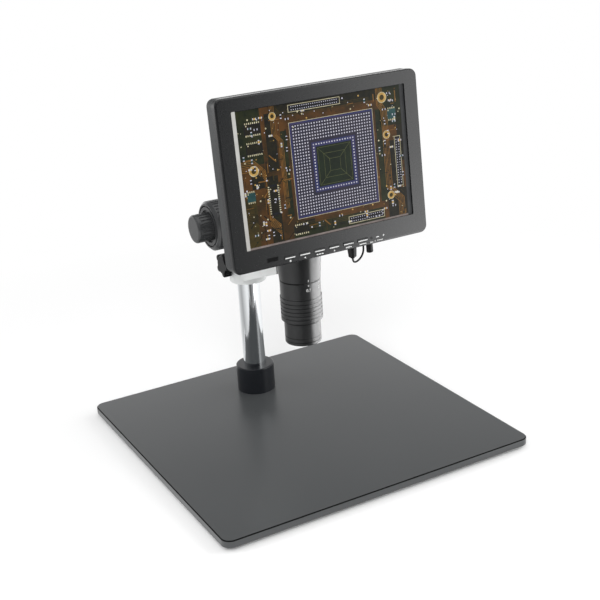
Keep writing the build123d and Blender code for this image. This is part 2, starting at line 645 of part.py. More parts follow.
def fine_knobs():
    inner = COARSE_OUT - DISH + GAP
    knob = rod(FINE_RADIUS, inner, FINE_OUT)
    knob = fillet(knob.faces().sort_by(Axis.Z)[-1].edges(), FINE_ROUND)
    knob -= fluted(FINE_RADIUS, FINE_FLUTES, COARSE_OUT + GAP, FINE_OUT - FINE_ROUND - FINE_WALL)
    return both_sides(knob - rod(FINE_SHAFT_RADIUS + FIT, 0, FINE_OUT - FINE_WALL))


def fine_shaft():
    end = FINE_OUT - FINE_WALL
    return bar(FINE_SHAFT_RADIUS, -end, end, PINION_Y, PINION_Z)


# ---- Focus carriage ----
def focus_carriage():
    low, high = PINION_Z - TONGUE_HALF_LENGTH, PINION_Z + TONGUE_HALF_LENGTH
    front, shelf = LENS_Y + LUG_FRONT, HOUSING_Z - GAP
    lug = side_profile([(front, arm_under(front)), (CARRIAGE_BACK, arm_under(CARRIAGE_BACK)),
                        (CARRIAGE_BACK, high), (HOUSING_REAR, high), (HOUSING_REAR, shelf),
                        (front, shelf)], ARM_HALF)
    plate = block(-CARRIAGE_HALF, CARRIAGE_HALF, HOUSING_REAR, CARRIAGE_BACK, low, high)
    plate = fillet(plate.edges().filter_by(Axis.Z).group_by(Axis.Y)[-1], CAST_ROUND)
    body = lug + plate + dovetail(CARRIAGE_BACK, TONGUE_BACK, 0, low, high)
    body -= rod(SHOULDER_RADIUS + GAP, TUBE_LOW, HOUSING_Z, 0, LENS_Y)
    body -= block(-RACK_HALF - FIT, RACK_HALF + FIT, RACK_ROOT - RACK_BACKING, TONGUE_BACK + CUT,
                  low - CUT, high + CUT)
    for x, z in CARRIAGE_SCREWS:
        body -= peg(M4_RADIUS + FIT, HOUSING_REAR - CUT, HOUSING_REAR + CARRIAGE_SCREW, x, z)
    for z in rack_screw_levels():
        body -= peg(M3_RADIUS + FIT, HOUSING_REAR, TONGUE_BACK, 0, z)
        body -= peg(M3_HEAD_RADIUS + HEAD_PLAY, HOUSING_REAR - CUT, RACK_ROOT - RACK_BACKING - RACK_WEB, 0, z)
    return body


def rack_screw_levels():
    return [PINION_Z + side * (TONGUE_HALF_LENGTH - RACK_SCREW_INSET) for side in (-1, 1)]


def focus_rack():
    """Comb whose middle gap faces the pinion at rest."""
    low, high = PINION_Z - TONGUE_HALF_LENGTH, PINION_Z + TONGUE_HALF_LENGTH
    tip = RACK_LINE + MODULE
    at_tip = TOOTH_PITCH / 4 - MODULE * tan(PRESSURE_ANGLE)
    at_root = TOOTH_PITCH / 4 + DEDENDUM * MODULE * tan(PRESSURE_ANGLE)
    pairs = int((TONGUE_HALF_LENGTH - at_root) / TOOTH_PITCH + 0.5)
    comb = [(RACK_ROOT - RACK_BACKING, low), (RACK_ROOT, low)]
    for i in range(-pairs, pairs):
        middle = PINION_Z + (i + 0.5) * TOOTH_PITCH
        comb += [(RACK_ROOT, middle - at_root), (tip, middle - at_tip),
                 (tip, middle + at_tip), (RACK_ROOT, middle + at_root)]
    comb += [(RACK_ROOT, high), (RACK_ROOT - RACK_BACKING, high)]
    rack = side_profile(comb, RACK_HALF)
    for z in rack_screw_levels():
        rack -= peg(M3_RADIUS + FIT, RACK_ROOT - RACK_BACKING - CUT, RACK_ROOT - CUT, 0, z)
    return rack


def carriage_screws():
    """Screws from inside the camera housing, through its back wall."""
    one = Rot(90, 0, 0) * screw(M4_RADIUS, CARRIAGE_SCREW - HOLE_END, M4_HEAD_RADIUS, M4_HEAD)
    return group([Pos(x, HOUSING_REAR - HOUSING_WALL, z) * one for x, z in CARRIAGE_SCREWS])


# ---- Camera head ----
def camera_housing():
    outer = block(-HOUSING_HALF_WIDTH, HOUSING_HALF_WIDTH, HOUSING_FRONT, HOUSING_REAR,
                  HOUSING_Z, HOUSING_RIM)
    outer = fillet(outer.edges().filter_by(Axis.Z), HOUSING_CORNER)
    inner = block(-HOUSING_HALF_WIDTH + HOUSING_WALL, HOUSING_HALF_WIDTH - HOUSING_WALL,
                  HOUSING_FRONT + HOUSING_WALL, HOUSING_REAR - HOUSING_WALL,
                  HOUSING_Z + HOUSING_WALL, HOUSING_RIM + CUT)
    shell = outer - fillet(inner.edges().filter_by(Axis.Z), HOUSING_CORNER - HOUSING_WALL)
    for x, y in LID_PLACES:
        post = rod(LID_POST, HOUSING_Z + HOUSING_WALL, HOUSING_RIM, x, y)
        shell += post
        shell -= rod(M3_RADIUS + FIT, HOUSING_RIM - M3_LENGTH, HOUSING_RIM + CUT, x, y)
    floor = HOUSING_Z + HOUSING_WALL
    for x, y in BOARD_PLACES:
        shell += rod(BOARD_POST_RADIUS, floor, floor + BOARD_POST_RISE, x, y)
    shell -= rod(MOUTH_RADIUS + FIT, HOUSING_Z - CUT, floor + CUT, 0, LENS_Y)
    for x, z in CARRIAGE_SCREWS:
        shell -= peg(M4_RADIUS + FIT, HOUSING_REAR - HOUSING_WALL - CUT, HOUSING_REAR + CUT, x, z)
    for x, z in FORK_SCREWS:
        shell -= peg(M3_RADIUS + FIT, HOUSING_FRONT - CUT, HOUSING_FRONT + HOUSING_WALL + CUT, x, z)
    return shell


def camera_lid():
    top = HOUSING_RIM + LID_THICK
    lid = block(-HOUSING_HALF_WIDTH, HOUSING_HALF_WIDTH, HOUSING_FRONT, HOUSING_REAR, HOUSING_RIM, top)
    lid = fillet(lid.edges().filter_by(Axis.Z), HOUSING_CORNER)
    lid = chamfer(lid.faces().sort_by(Axis.Z)[-1].edges(), BREAK)
    for x, y in LID_PLACES:
        lid -= rod(M3_RADIUS + FIT, HOUSING_RIM - CUT, top + CUT, x, y)
        lid -= rod(M3_HEAD_RADIUS + FIT, top - M3_HEAD, top + CUT, x, y)
    return lid


def head_screws():
    """Like screws of the lid, of the hinge fork and of the rack, the last sunk in the carriage."""
    seat = HOUSING_RIM + LID_THICK - M3_HEAD
    lid = [Pos(x, y, seat) * m3(M3_LENGTH) for x, y in LID_PLACES]
    level = Rot(90, 0, 0) * m3(M3_LENGTH)
    fork = [Pos(x, HOUSING_FRONT - FORK_PLATE, z) * level for x, z in FORK_SCREWS]
    rack = [Pos(0, RACK_ROOT - RACK_BACKING - RACK_WEB, z) * level for z in rack_screw_levels()]
    return group(lid + fork + rack)


def board_level():
    return HOUSING_Z + HOUSING_WALL + BOARD_POST_RISE


def camera_board():
    level = board_level()
    board = block(-BOARD_HALF, BOARD_HALF, LENS_Y - BOARD_HALF, LENS_Y + BOARD_HALF,
                  level, level + BOARD_THICK)
    face = level + BOARD_THICK
    chip = block(-CHIP_HALF, CHIP_HALF, LENS_Y - CHIP_HALF, LENS_Y + CHIP_HALF, face, face + CHIP_THICK)
    header = block(-HEADER_HALF, HEADER_HALF, LENS_Y + HEADER_NEAR, LENS_Y + HEADER_NEAR + HEADER_DEEP,
                   face, face + HEADER_HEIGHT)
    return board + chip + header


def image_sensor():
    level = board_level()
    chip = block(-SENSOR_HALF, SENSOR_HALF, LENS_Y - SENSOR_HALF, LENS_Y + SENSOR_HALF,
                 level - SENSOR_THICK, level)
    glass = SENSOR_HALF - SENSOR_RIM
    return chip - block(-glass, glass, LENS_Y - glass, LENS_Y + glass, level - SENSOR_THICK - CUT,
                        level - SENSOR_THICK + SENSOR_SINK)


# ---- Lens ----
def lens_core():
    """Fixed inner tube that joins the two barrels and carries the zoom ring."""
    low, high = LOWER_Z1 - CORE_THREAD, UPPER_Z0 + CORE_THREAD
    return pipe(CORE_RADIUS, CORE_BORE, low, high, 0, LENS_Y)


def upper_barrel():
    barrel = cone(NECK_RADIUS, SHOULDER_RADIUS, UPPER_Z0, HOUSING_Z)
    barrel += rod(MOUTH_RADIUS, HOUSING_Z, HOUSING_Z + HOUSING_WALL)
    barrel -= rod(CORE_RADIUS + FIT, UPPER_Z0 - CUT, UPPER_Z0 + CORE_THREAD)
    return Pos(0, LENS_Y, 0) * (barrel - rod(CORE_BORE, UPPER_Z0, HOUSING_Z + HOUSING_WALL + CUT))


def lower_barrel():
    barrel = rod(LOWER_RADIUS, LOWER_Z0, LOWER_Z1)
    barrel = chamfer(barrel.faces().sort_by(Axis.Z)[0].edges(), GAP)
    barrel -= rod(CORE_RADIUS + FIT, LOWER_Z1 - CORE_THREAD, LOWER_Z1 + CUT)
    barrel -= rod(CORE_BORE, LOWER_Z0 - CUT, LOWER_Z1)
    return Pos(0, LENS_Y, 0) * (barrel - rod(RIM_RADIUS + FIT, LOWER_Z0 - CUT, LOWER_Z0 + 2 * GLASS_THICK))


def front_ring():
    ring = rod(LOWER_RADIUS, TUBE_LOW, TUBE_LOW + FRONT_RING)
    ring = fillet(ring.faces().sort_by(Axis.Z)[0].edges(), BREAK)
    ring += rod(RIM_RADIUS, TUBE_LOW + FRONT_RING, LOWER_Z0 + GLASS_THICK)
    ring -= rod(RIM_RADIUS - RIM_WALL, TUBE_LOW, LOWER_Z0 + GLASS_THICK + CUT)
    flare = cone(RIM_RADIUS + RIM_WALL, RIM_RADIUS - RIM_WALL, TUBE_LOW, TUBE_LOW + RIM_FLARE)
    return Pos(0, LENS_Y, 0) * (ring - flare)


def dome_glass(radius, thick, bulge, z0):
    """Glass disc with its lower face bulging down by bulge."""
    sphere = (radius * radius + bulge * bulge) / (2 * bulge)
    ball = Pos(0, LENS_Y, z0 - bulge + sphere) * Sphere(sphere)
    return ball & rod(radius, z0 - bulge - CUT, z0 + thick, 0, LENS_Y)


def objective_lens():
    return dome_glass(RIM_RADIUS - FIT, GLASS_THICK - GAP, FRONT_BULGE, LOWER_Z0 + GLASS_THICK + GAP)


def relay_lens():
    seat = UPPER_Z0 + CORE_THREAD
    return rod(CORE_BORE - FIT, seat - GLASS_THICK, seat, 0, LENS_Y)


def zoom_ring():
    ring = rod(RING_RADIUS, RING_Z0, RING_Z1)
    ring = chamfer(ring.faces().sort_by(Axis.Z)[0].edges(), RING_CHAMFER)
    low = RING_Z0 + GRIP_LOW
    ring -= pipe(RING_RADIUS + CUT, RING_RADIUS - GRIP_BED, low, low + GRIP_HEIGHT)
    return Pos(0, LENS_Y, 0) * (ring - rod(CORE_RADIUS + FIT, RING_Z0 - CUT, RING_Z1 + CUT))


def zoom_grip():
    """Ribbed band in the zoom ring's seat."""
    low = RING_Z0 + GRIP_LOW + FIT
    high = low + GRIP_HEIGHT - 2 * FIT
    band = rod(GRIP_RADIUS, low, high)
    step = (high - low) / GRIP_RIBS
    for i in range(1, GRIP_RIBS):
        level = low + step * i
        band -= pipe(GRIP_RADIUS + CUT, GRIP_RADIUS - RIB_DEEP,
                     level - GRIP_GROOVE / 2, level + GRIP_GROOVE / 2)
    bore = rod(RING_RADIUS - GRIP_BED + FIT, low - CUT, high + CUT)
    return Pos(0, LENS_Y, 0) * (band - bore)


def zoom_cell():
    low, high = CELL_MIDDLE - CELL_LENGTH / 2, CELL_MIDDLE + CELL_LENGTH / 2
    cell = pipe(CORE_BORE - SLIDE_PLAY, CORE_BORE - CELL_WALL, low, high)
    cell += pipe(CORE_BORE - CELL_WALL / 2, CORE_BORE - CELL_WALL - CELL_LIP_IN, low, low + CELL_LIP)
    return Pos(0, LENS_Y, 0) * cell


def zoom_lens():
    seat = CELL_MIDDLE - CELL_LENGTH / 2 + CELL_LIP
    return dome_glass(CORE_BORE - CELL_WALL - FIT, 2 * GLASS_THICK, CELL_BULGE, seat + CELL_BULGE)


# ---- Monitor, built upright with its lower front edge on the X axis ----
def slab(inset, depth0, depth1, corner):
    """Rounded rectangle of the monitor's outline, moved in by inset, between two depths."""
    body = block(-MON_WIDTH / 2 + inset, MON_WIDTH / 2 - inset, depth0, depth1, inset, MON_HEIGHT - inset)
    return fillet(body.edges().filter_by(Axis.Y), corner)


def front_bezel():
    bezel = slab(0, 0, SPLIT, MON_CORNER)
    bezel = fillet(bezel.faces().sort_by(Axis.Y)[0].edges(), FACE_ROUND)
    bezel -= slab(MON_WALL, FACE_THICK, SPLIT + CUT, MON_CORNER - MON_WALL)
    window = block(-SCREEN_WIDTH / 2, SCREEN_WIDTH / 2, -CUT, FACE_THICK + CUT,
                   SCREEN_LOW, SCREEN_LOW + SCREEN_HEIGHT)
    bezel -= fillet(window.edges().filter_by(Axis.Y), SCREEN_CORNER)
    for x in KEY_STATIONS:
        bezel -= key_block(x, KEY_WIDTH / 2 + KEY_PLAY, KEY_HEIGHT / 2 + KEY_PLAY, -CUT, FACE_THICK + CUT)
    bezel -= eye_block(FIT, -CUT, FACE_THICK + CUT)
    bezel -= peg(LAMP_RADIUS + FIT, -CUT, FACE_THICK + CUT, LAMP_X, KEY_RISE)
    for x in key_posts():
        bezel += peg(KEY_POST_RADIUS, FACE_THICK, KEY_BOARD_DEPTH, x, KEY_RISE)
    for x, z in POST_PLACES:
        bezel += peg(SCREW_POST, FACE_THICK, COVER_FLOOR, x, z)
        bezel -= peg(M3_RADIUS + FIT, MON_DEPTH - M3_LENGTH - GAP, COVER_FLOOR + CUT, x, z)
    return bezel


def rear_cover():
    cover = slab(COVER_INSET, SPLIT, MON_DEPTH, MON_CORNER - COVER_INSET)
    cover = fillet(cover.faces().sort_by(Axis.Y)[-1].edges(), COVER_ROUND)
    cover -= slab(SILL, SPLIT - CUT, COVER_FLOOR, MON_CORNER - SILL)
    for i in range(VENTS):
        for side in (-1, 1):
            z = VENT_LOW + VENT_PITCH * i
            middle = side * VENT_LENGTH * VENT_STEP
            cover -= block(middle - VENT_LENGTH / 2, middle + VENT_LENGTH / 2,
                           COVER_FLOOR - CUT, MON_DEPTH + CUT, z, z + VENT_WIDE)
    for x, z in POST_PLACES:
        cover -= peg(M3_RADIUS + FIT, COVER_FLOOR - CUT, MON_DEPTH + CUT, x, z)
    for x, z in LEAF_PLACES:
        cover += peg(SCREW_POST, COVER_FLOOR - LEAF_POST, COVER_FLOOR, x, z)
        cover -= peg(M3_RADIUS + FIT, COVER_FLOOR - LEAF_POST - CUT, MON_DEPTH + CUT, x, z)
    for x, z in board_standoffs():
        cover += peg(BOARD_POST_RADIUS, COVER_FLOOR - STANDOFF, COVER_FLOOR, x, z)
    for x, depth in ((JACK_X, JACK_DEPTH), (SPARE_X, SPARE_DEPTH)):
        cover -= rod(JACK_PIN + FIT, -CUT, SILL + CUT, x, depth)
    return cover - rod(GROMMET_NECK + FIT, -CUT, SILL + CUT, GROMMET_X, GROMMET_DEPTH)


def monitor_screws():
    """Screws that hold the rear cover, and those that hold the hinge leaf."""
    one = Rot(-90, 0, 0) * m3(M3_LENGTH)
    cover = [Pos(x, MON_DEPTH, z) * one for x, z in POST_PLACES]
    return group(cover + [Pos(x, MON_DEPTH + LEAF_THICK, z) * one for x, z in LEAF_PLACES])


def lcd_panel():
    front = FACE_THICK + SLIDE_PLAY
    return block(-SCREEN_WIDTH / 2 - LCD_LAP, SCREEN_WIDTH / 2 + LCD_LAP, front, front + LCD_THICK,
                 SCREEN_LOW - LCD_LAP, SCREEN_LOW + SCREEN_HEIGHT + LCD_LAP)


def board_standoffs():
    return [(sx * (MAIN_HALF - STANDOFF_INSET), MAIN_LOW + dz)
            for sx in (-1, 1) for dz in (STANDOFF_INSET, MAIN_HEIGHT - STANDOFF_INSET)]


def on_board(face, x, rise, half_width, half_height, proud):
    """Component on the main board's front, centred x across and rise above its lower edge."""
    z = MAIN_LOW + rise
    return block(x - half_width, x + half_width, face - proud, face, z - half_height, z + half_height)


def main_board():
    back = COVER_FLOOR - STANDOFF
    face = back - BOARD_THICK
    board = block(-MAIN_HALF, MAIN_HALF, face, back, MAIN_LOW, MAIN_LOW + MAIN_HEIGHT)
    middle = MAIN_HEIGHT / 2
    board += on_board(face, 0, middle, PROCESSOR_HALF, PROCESSOR_HALF, CHIP_THICK)
    board += on_board(face, MAIN_HALF / 2, middle, MEMORY_HALF, MEMORY_HALF, CHIP_THICK)
    board += on_board(face, -MAIN_HALF / 2, MAIN_HEIGHT / 4, CHIP_HALF, HEADER_DEEP, HEADER_HEIGHT)
    capacitor = peg(CAPACITOR_RADIUS, face - CAPACITOR_LENGTH, face, CAPACITOR_X, MAIN_LOW + CAPACITOR_RISE)
    return board + capacitor


def key_posts():
    """Posts that carry the key board: one at each end and one between the middle keys."""
    between = (KEY_STATIONS[2] + KEY_STATIONS[3]) / 2
    return [KEY_BOARD_LEFT + KEY_POST_INSET, between, KEY_BOARD_RIGHT - KEY_POST_INSET]


def key_board():
    return block(KEY_BOARD_LEFT, KEY_BOARD_RIGHT, KEY_BOARD_DEPTH, KEY_BOARD_DEPTH + KEY_BOARD_THICK,
                 KEY_RISE - KEY_BOARD_HALF, KEY_RISE + KEY_BOARD_HALF)


def key_block(x, half_width, half_height, depth0, depth1):
    return block(x - half_width, x + half_width, depth0, depth1,
                 KEY_RISE - half_height, KEY_RISE + half_height)


def button(x):
    """Bar key with a retaining flange behind the face and a stem that meets the key board."""
    cap = key_block(x, KEY_WIDTH / 2, KEY_HEIGHT / 2, -KEY_PROUD, KEY_STEM)
    wide = KEY_FLANGE_WIDE
    flange = key_block(x, KEY_WIDTH / 2 + wide, KEY_HEIGHT / 2 + wide,
                       FACE_THICK + SLIDE_PLAY, FACE_THICK + SLIDE_PLAY + KEY_FLANGE)
    return cap + flange


def eye_block(margin, depth0, depth1):
    across, up = EYE_WIDTH / 2 + margin, EYE_HEIGHT / 2 + margin
    return block(EYE_X - across, EYE_X + across, depth0, depth1, EYE_RISE - up, EYE_RISE + up)


def ir_window():
    return eye_block(0, 0, FACE_THICK) + eye_block(EYE_FLANGE, FACE_THICK, FACE_THICK + EYE_FLANGE_THICK)


def status_lamp():
    return peg(LAMP_RADIUS, 0, KEY_BOARD_DEPTH, LAMP_X, KEY_RISE)


# ---- Tilt hinge ----
def hinge_fork():
    """Fork on the camera housing's front, in the object's own frame."""
    face = HOUSING_FRONT - FORK_PLATE
    plate = block(-FORK_HALF, FORK_HALF, face, HOUSING_FRONT, HOUSING_RIM - FORK_PLATE_HEIGHT, HOUSING_RIM)
    fork = plate
    for side in (-1, 1):
        inner, outer = sorted((side * (FORK_HALF - EAR_THICK), side * FORK_HALF))
        fork += bar(HINGE_RADIUS, inner, outer, PIVOT_Y, PIVOT_Z)
        fork += block(inner, outer, PIVOT_Y, face, PIVOT_Z - HINGE_RADIUS, PIVOT_Z + PIVOT_DROP)
    fork -= bar(HINGE_PIN_RADIUS + FIT, -FORK_HALF - CUT, FORK_HALF + CUT, PIVOT_Y, PIVOT_Z)
    for x, z in FORK_SCREWS:
        fork -= peg(M3_RADIUS + FIT, face - CUT, HOUSING_FRONT + CUT, x, z)
    return fork


def hinge_pin():
    return bar(HINGE_PIN_RADIUS, -FORK_HALF, FORK_HALF, PIVOT_Y, PIVOT_Z)


def hinge_knuckle():
    """Leaf on the rear cover with the knuckle between the fork's ears."""
    half = FORK_HALF - EAR_THICK - GAP
    leaf = block(-LEAF_HALF, LEAF_HALF, MON_DEPTH, MON_DEPTH + LEAF_THICK,
                 PIVOT_UP - LEAF_HALF_HEIGHT, PIVOT_UP + LEAF_HALF_HEIGHT)
    leaf = fillet(leaf.edges().filter_by(Axis.Y), LEAF_CORNER)
    leaf += block(-half, half, MON_DEPTH, PIVOT_DEPTH, PIVOT_UP - WEB_HALF, PIVOT_UP + WEB_HALF)
    leaf += bar(HINGE_RADIUS, -half, half, PIVOT_DEPTH, PIVOT_UP)
    leaf -= bar(HINGE_PIN_RADIUS + FIT, -half - CUT, half + CUT, PIVOT_DEPTH, PIVOT_UP)
    for x, z in LEAF_PLACES:
        leaf -= peg(M3_RADIUS + FIT, MON_DEPTH - CUT, MON_DEPTH + LEAF_THICK + CUT, x, z)
    return leaf


# ---- Connectors and lead ----
def socket(x, depth, half):
    body = block(x - half, x + half, depth - SOCKET_DEEP / 2, depth + SOCKET_DEEP / 2,
                 SILL, SILL + SOCKET_HEIGHT)
    return body - rod(JACK_PIN + FIT, SILL - CUT, COVER_INSET + PIN_IN + GAP, x, depth)


def sockets():
    return group([socket(JACK_X, JACK_DEPTH, JACK_HALF), socket(SPARE_X, SPARE_DEPTH, SPARE_HALF)])


def video_plug():
    low = COVER_INSET - PLUG_BODY
    plug = cone(PLUG_WAIST, PLUG_RADIUS, low, COVER_INSET)
    plug = fillet(plug.edges().filter_by(GeomType.CIRCLE), BREAK)
    plug += rod(JACK_PIN, COVER_INSET - CUT, COVER_INSET + PIN_IN)
    plug += cone(LEAD_RADIUS + BOOT_WALL, PLUG_WAIST - BREAK, low - PLUG_NECK, low)
    return Pos(JACK_X, JACK_DEPTH, 0) * plug


def port_cap():
    cap = rod(SPARE_RADIUS, COVER_INSET - SPARE_LENGTH, COVER_INSET)
    cap = fillet(cap.faces().sort_by(Axis.Z)[0].edges(), SPARE_ROUND)
    return Pos(SPARE_X, SPARE_DEPTH, 0) * (cap + rod(JACK_PIN, COVER_INSET - CUT, COVER_INSET + PIN_IN))


def lead_grommet():
    """Grommet in the cover's lower wall, with the lead through its bore."""
    boot = cone(LEAD_RADIUS + BOOT_WALL, GROMMET_RADIUS, -GROMMET_BOOT, COVER_INSET)
    boot += rod(GROMMET_NECK, COVER_INSET, SILL) + rod(GROMMET_RADIUS, SILL, SILL + GROMMET_FLANGE)
    return Pos(GROMMET_X, GROMMET_DEPTH, 0) * (boot - rod(LEAD_RADIUS + FIT, -GROMMET_BOOT - CUT, LEAD_IN))


def route_radii():
    """Bend radius at each inner point: as large as its two runs allow."""
    points = [Vector(*p) for p in LEAD_ROUTE]
    radii = []
    for before, here, after in zip(points, points[1:], points[2:]):
        run = min((here - before).length, (after - here).length)
        turn = radians((here - before).get_angle(after - here))
        radii.append(BEND_SHARE * run / tan(turn / 2))
    return radii


def video_lead():
    radii = route_radii()
    path = FilletPolyline(*LEAD_ROUTE, radius=radii)
    section = Plane(origin=path @ 0, z_dir=path % 0) * Circle(LEAD_RADIUS)
    lead = sweep(section, path=path)
    print("lead radii", [round(r, 2) for r in radii], "length", round(path.length, 2))
    print("lead volume", round(lead.volume, 2), "section x length",
          round(pi * LEAD_RADIUS ** 2 * path.length, 2))
    return lead


ON_STAND = {
    "base_plate": base_plate, "rubber_feet": rubber_feet, "foot_screws": foot_screws,
    "column_collar": column_collar, "collar_screws": collar_screws, "column_tube": column_tube,
    "column_plug": column_plug, "anchor_bolt": anchor_bolt, "column_cap": column_cap,
    "hub_bushes": hub_bushes, "arm_casting": arm_casting, "clamp_knob": clamp_knob,
    "clamp_stud": clamp_stud, "pinion_bushes": pinion_bushes, "coarse_knobs": coarse_knobs,
    "pinion_shaft": pinion_shaft, "pinion_gear": pinion_gear, "fine_knobs": fine_knobs,
    "fine_shaft": fine_shaft, "focus_carriage": focus_carriage, "focus_rack": focus_rack,
    "carriage_screws": carriage_screws,
    "camera_housing": camera_housing, "camera_lid": camera_lid, "head_screws": head_screws,
    "camera_board": camera_board, "image_sensor": image_sensor, "lens_core": lens_core,
    "upper_barrel": upper_barrel, "lower_barrel": lower_barrel, "front_ring": front_ring,
    "objective_lens": objective_lens, "relay_lens": relay_lens, "zoom_ring": zoom_ring,
    "zoom_grip": zoom_grip, "zoom_cell": zoom_cell, "zoom_lens": zoom_lens,
    "hinge_fork": hinge_fork, "hinge_pin": hinge_pin,
}
ON_MONITOR = {
    "front_bezel": front_bezel, "rear_cover": rear_cover, "monitor_screws": monitor_screws,
    "lcd_panel": lcd_panel, "main_board": main_board, "key_board": key_board,
    "ir_window": ir_window, "status_lamp": status_lamp, "hinge_knuckle": hinge_knuckle,
    "sockets": sockets, "video_plug": video_plug,
    "port_cap": port_cap, "lead_grommet": lead_grommet, "video_lead": video_lead,
}


def main():
    os.makedirs("parts", exist_ok=True)
    for name, make in ON_STAND.items():
        export_step(group([make()]), f"parts/{name}.step")
    for name, make in ON_MONITOR.items():
        export_step(group([MONITOR * make()]), f"parts/{name}.step")
    for number, x in enumerate(KEY_STATIONS, start=1):
        export_step(group([MONITOR * button(x)]), f"parts/button_{number}.step")
    print("pinion", PINION_Y, PINION_Z, "pivot", PIVOT_Y, PIVOT_Z, "monitor", MON_Y, MON_Z)


main()
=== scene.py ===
"""Dresses the desktop microscope: its finishes, printed marks, lit picture, lead and studio."""
import json
import logging
from dataclasses import dataclass, field
from enum import Enum, IntEnum
from math import atan2, cos, hypot, pi, radians, sin
from random import Random

import bmesh
import bpy
from mathutils import Matrix, Vector


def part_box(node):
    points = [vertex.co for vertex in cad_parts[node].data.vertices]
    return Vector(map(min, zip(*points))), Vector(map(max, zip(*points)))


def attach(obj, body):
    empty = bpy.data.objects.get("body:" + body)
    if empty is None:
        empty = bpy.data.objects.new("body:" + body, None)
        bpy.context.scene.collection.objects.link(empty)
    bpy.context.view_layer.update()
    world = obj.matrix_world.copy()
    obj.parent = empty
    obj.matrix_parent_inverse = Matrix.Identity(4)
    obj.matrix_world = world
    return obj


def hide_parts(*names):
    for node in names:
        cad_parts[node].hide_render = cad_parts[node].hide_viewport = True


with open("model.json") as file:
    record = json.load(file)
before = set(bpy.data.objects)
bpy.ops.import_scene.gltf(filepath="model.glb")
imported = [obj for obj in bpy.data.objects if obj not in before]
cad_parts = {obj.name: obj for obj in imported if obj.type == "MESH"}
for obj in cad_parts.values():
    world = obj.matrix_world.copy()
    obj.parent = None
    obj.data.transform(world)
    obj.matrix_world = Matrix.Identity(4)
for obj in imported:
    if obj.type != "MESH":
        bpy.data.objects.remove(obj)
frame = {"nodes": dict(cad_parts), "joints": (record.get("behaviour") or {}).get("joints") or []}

log = logging.getLogger("microscope")
logging.basicConfig(level=logging.INFO, format="%(name)s: %(message)s")

MM = 0.001
Material, Socket = bpy.types.Material, bpy.types.NodeSocket
Sockets = bpy.types.bpy_prop_collection
Tree = bpy.types.NodeTree
BMesh = bmesh.types.BMesh
Pair = tuple[float, float]
Spot = tuple[float, float, float]
Colour = tuple[float, float, float, float]
Value = Socket | float | Colour | Vector
WHITE: Colour = (1.0, 1.0, 1.0, 1.0)


def shade(code: str) -> Colour:
    """Linear colour of a six-digit screen colour.

    Args:
        code: The colour as written on a screen, such as "6b6d70".

    Returns:
        Red, green, blue and alpha for a shader.
    """
    parts = [int(code[i:i + 2], 16) / 255 for i in (0, 2, 4)]
    linear = [p / 12.92 if p <= 0.04045 else ((p + 0.055) / 1.055) ** 2.4 for p in parts]
    return (linear[0], linear[1], linear[2], 1.0)


def scaled(colour: Colour, factor: float, lift: float = 0.0) -> Colour:
    """A colour made brighter or darker, at most white."""
    red, green, blue = (min(1.0, part * factor + lift) for part in colour[:3])
    return (red, green, blue, 1.0)


# ---- node trees ----


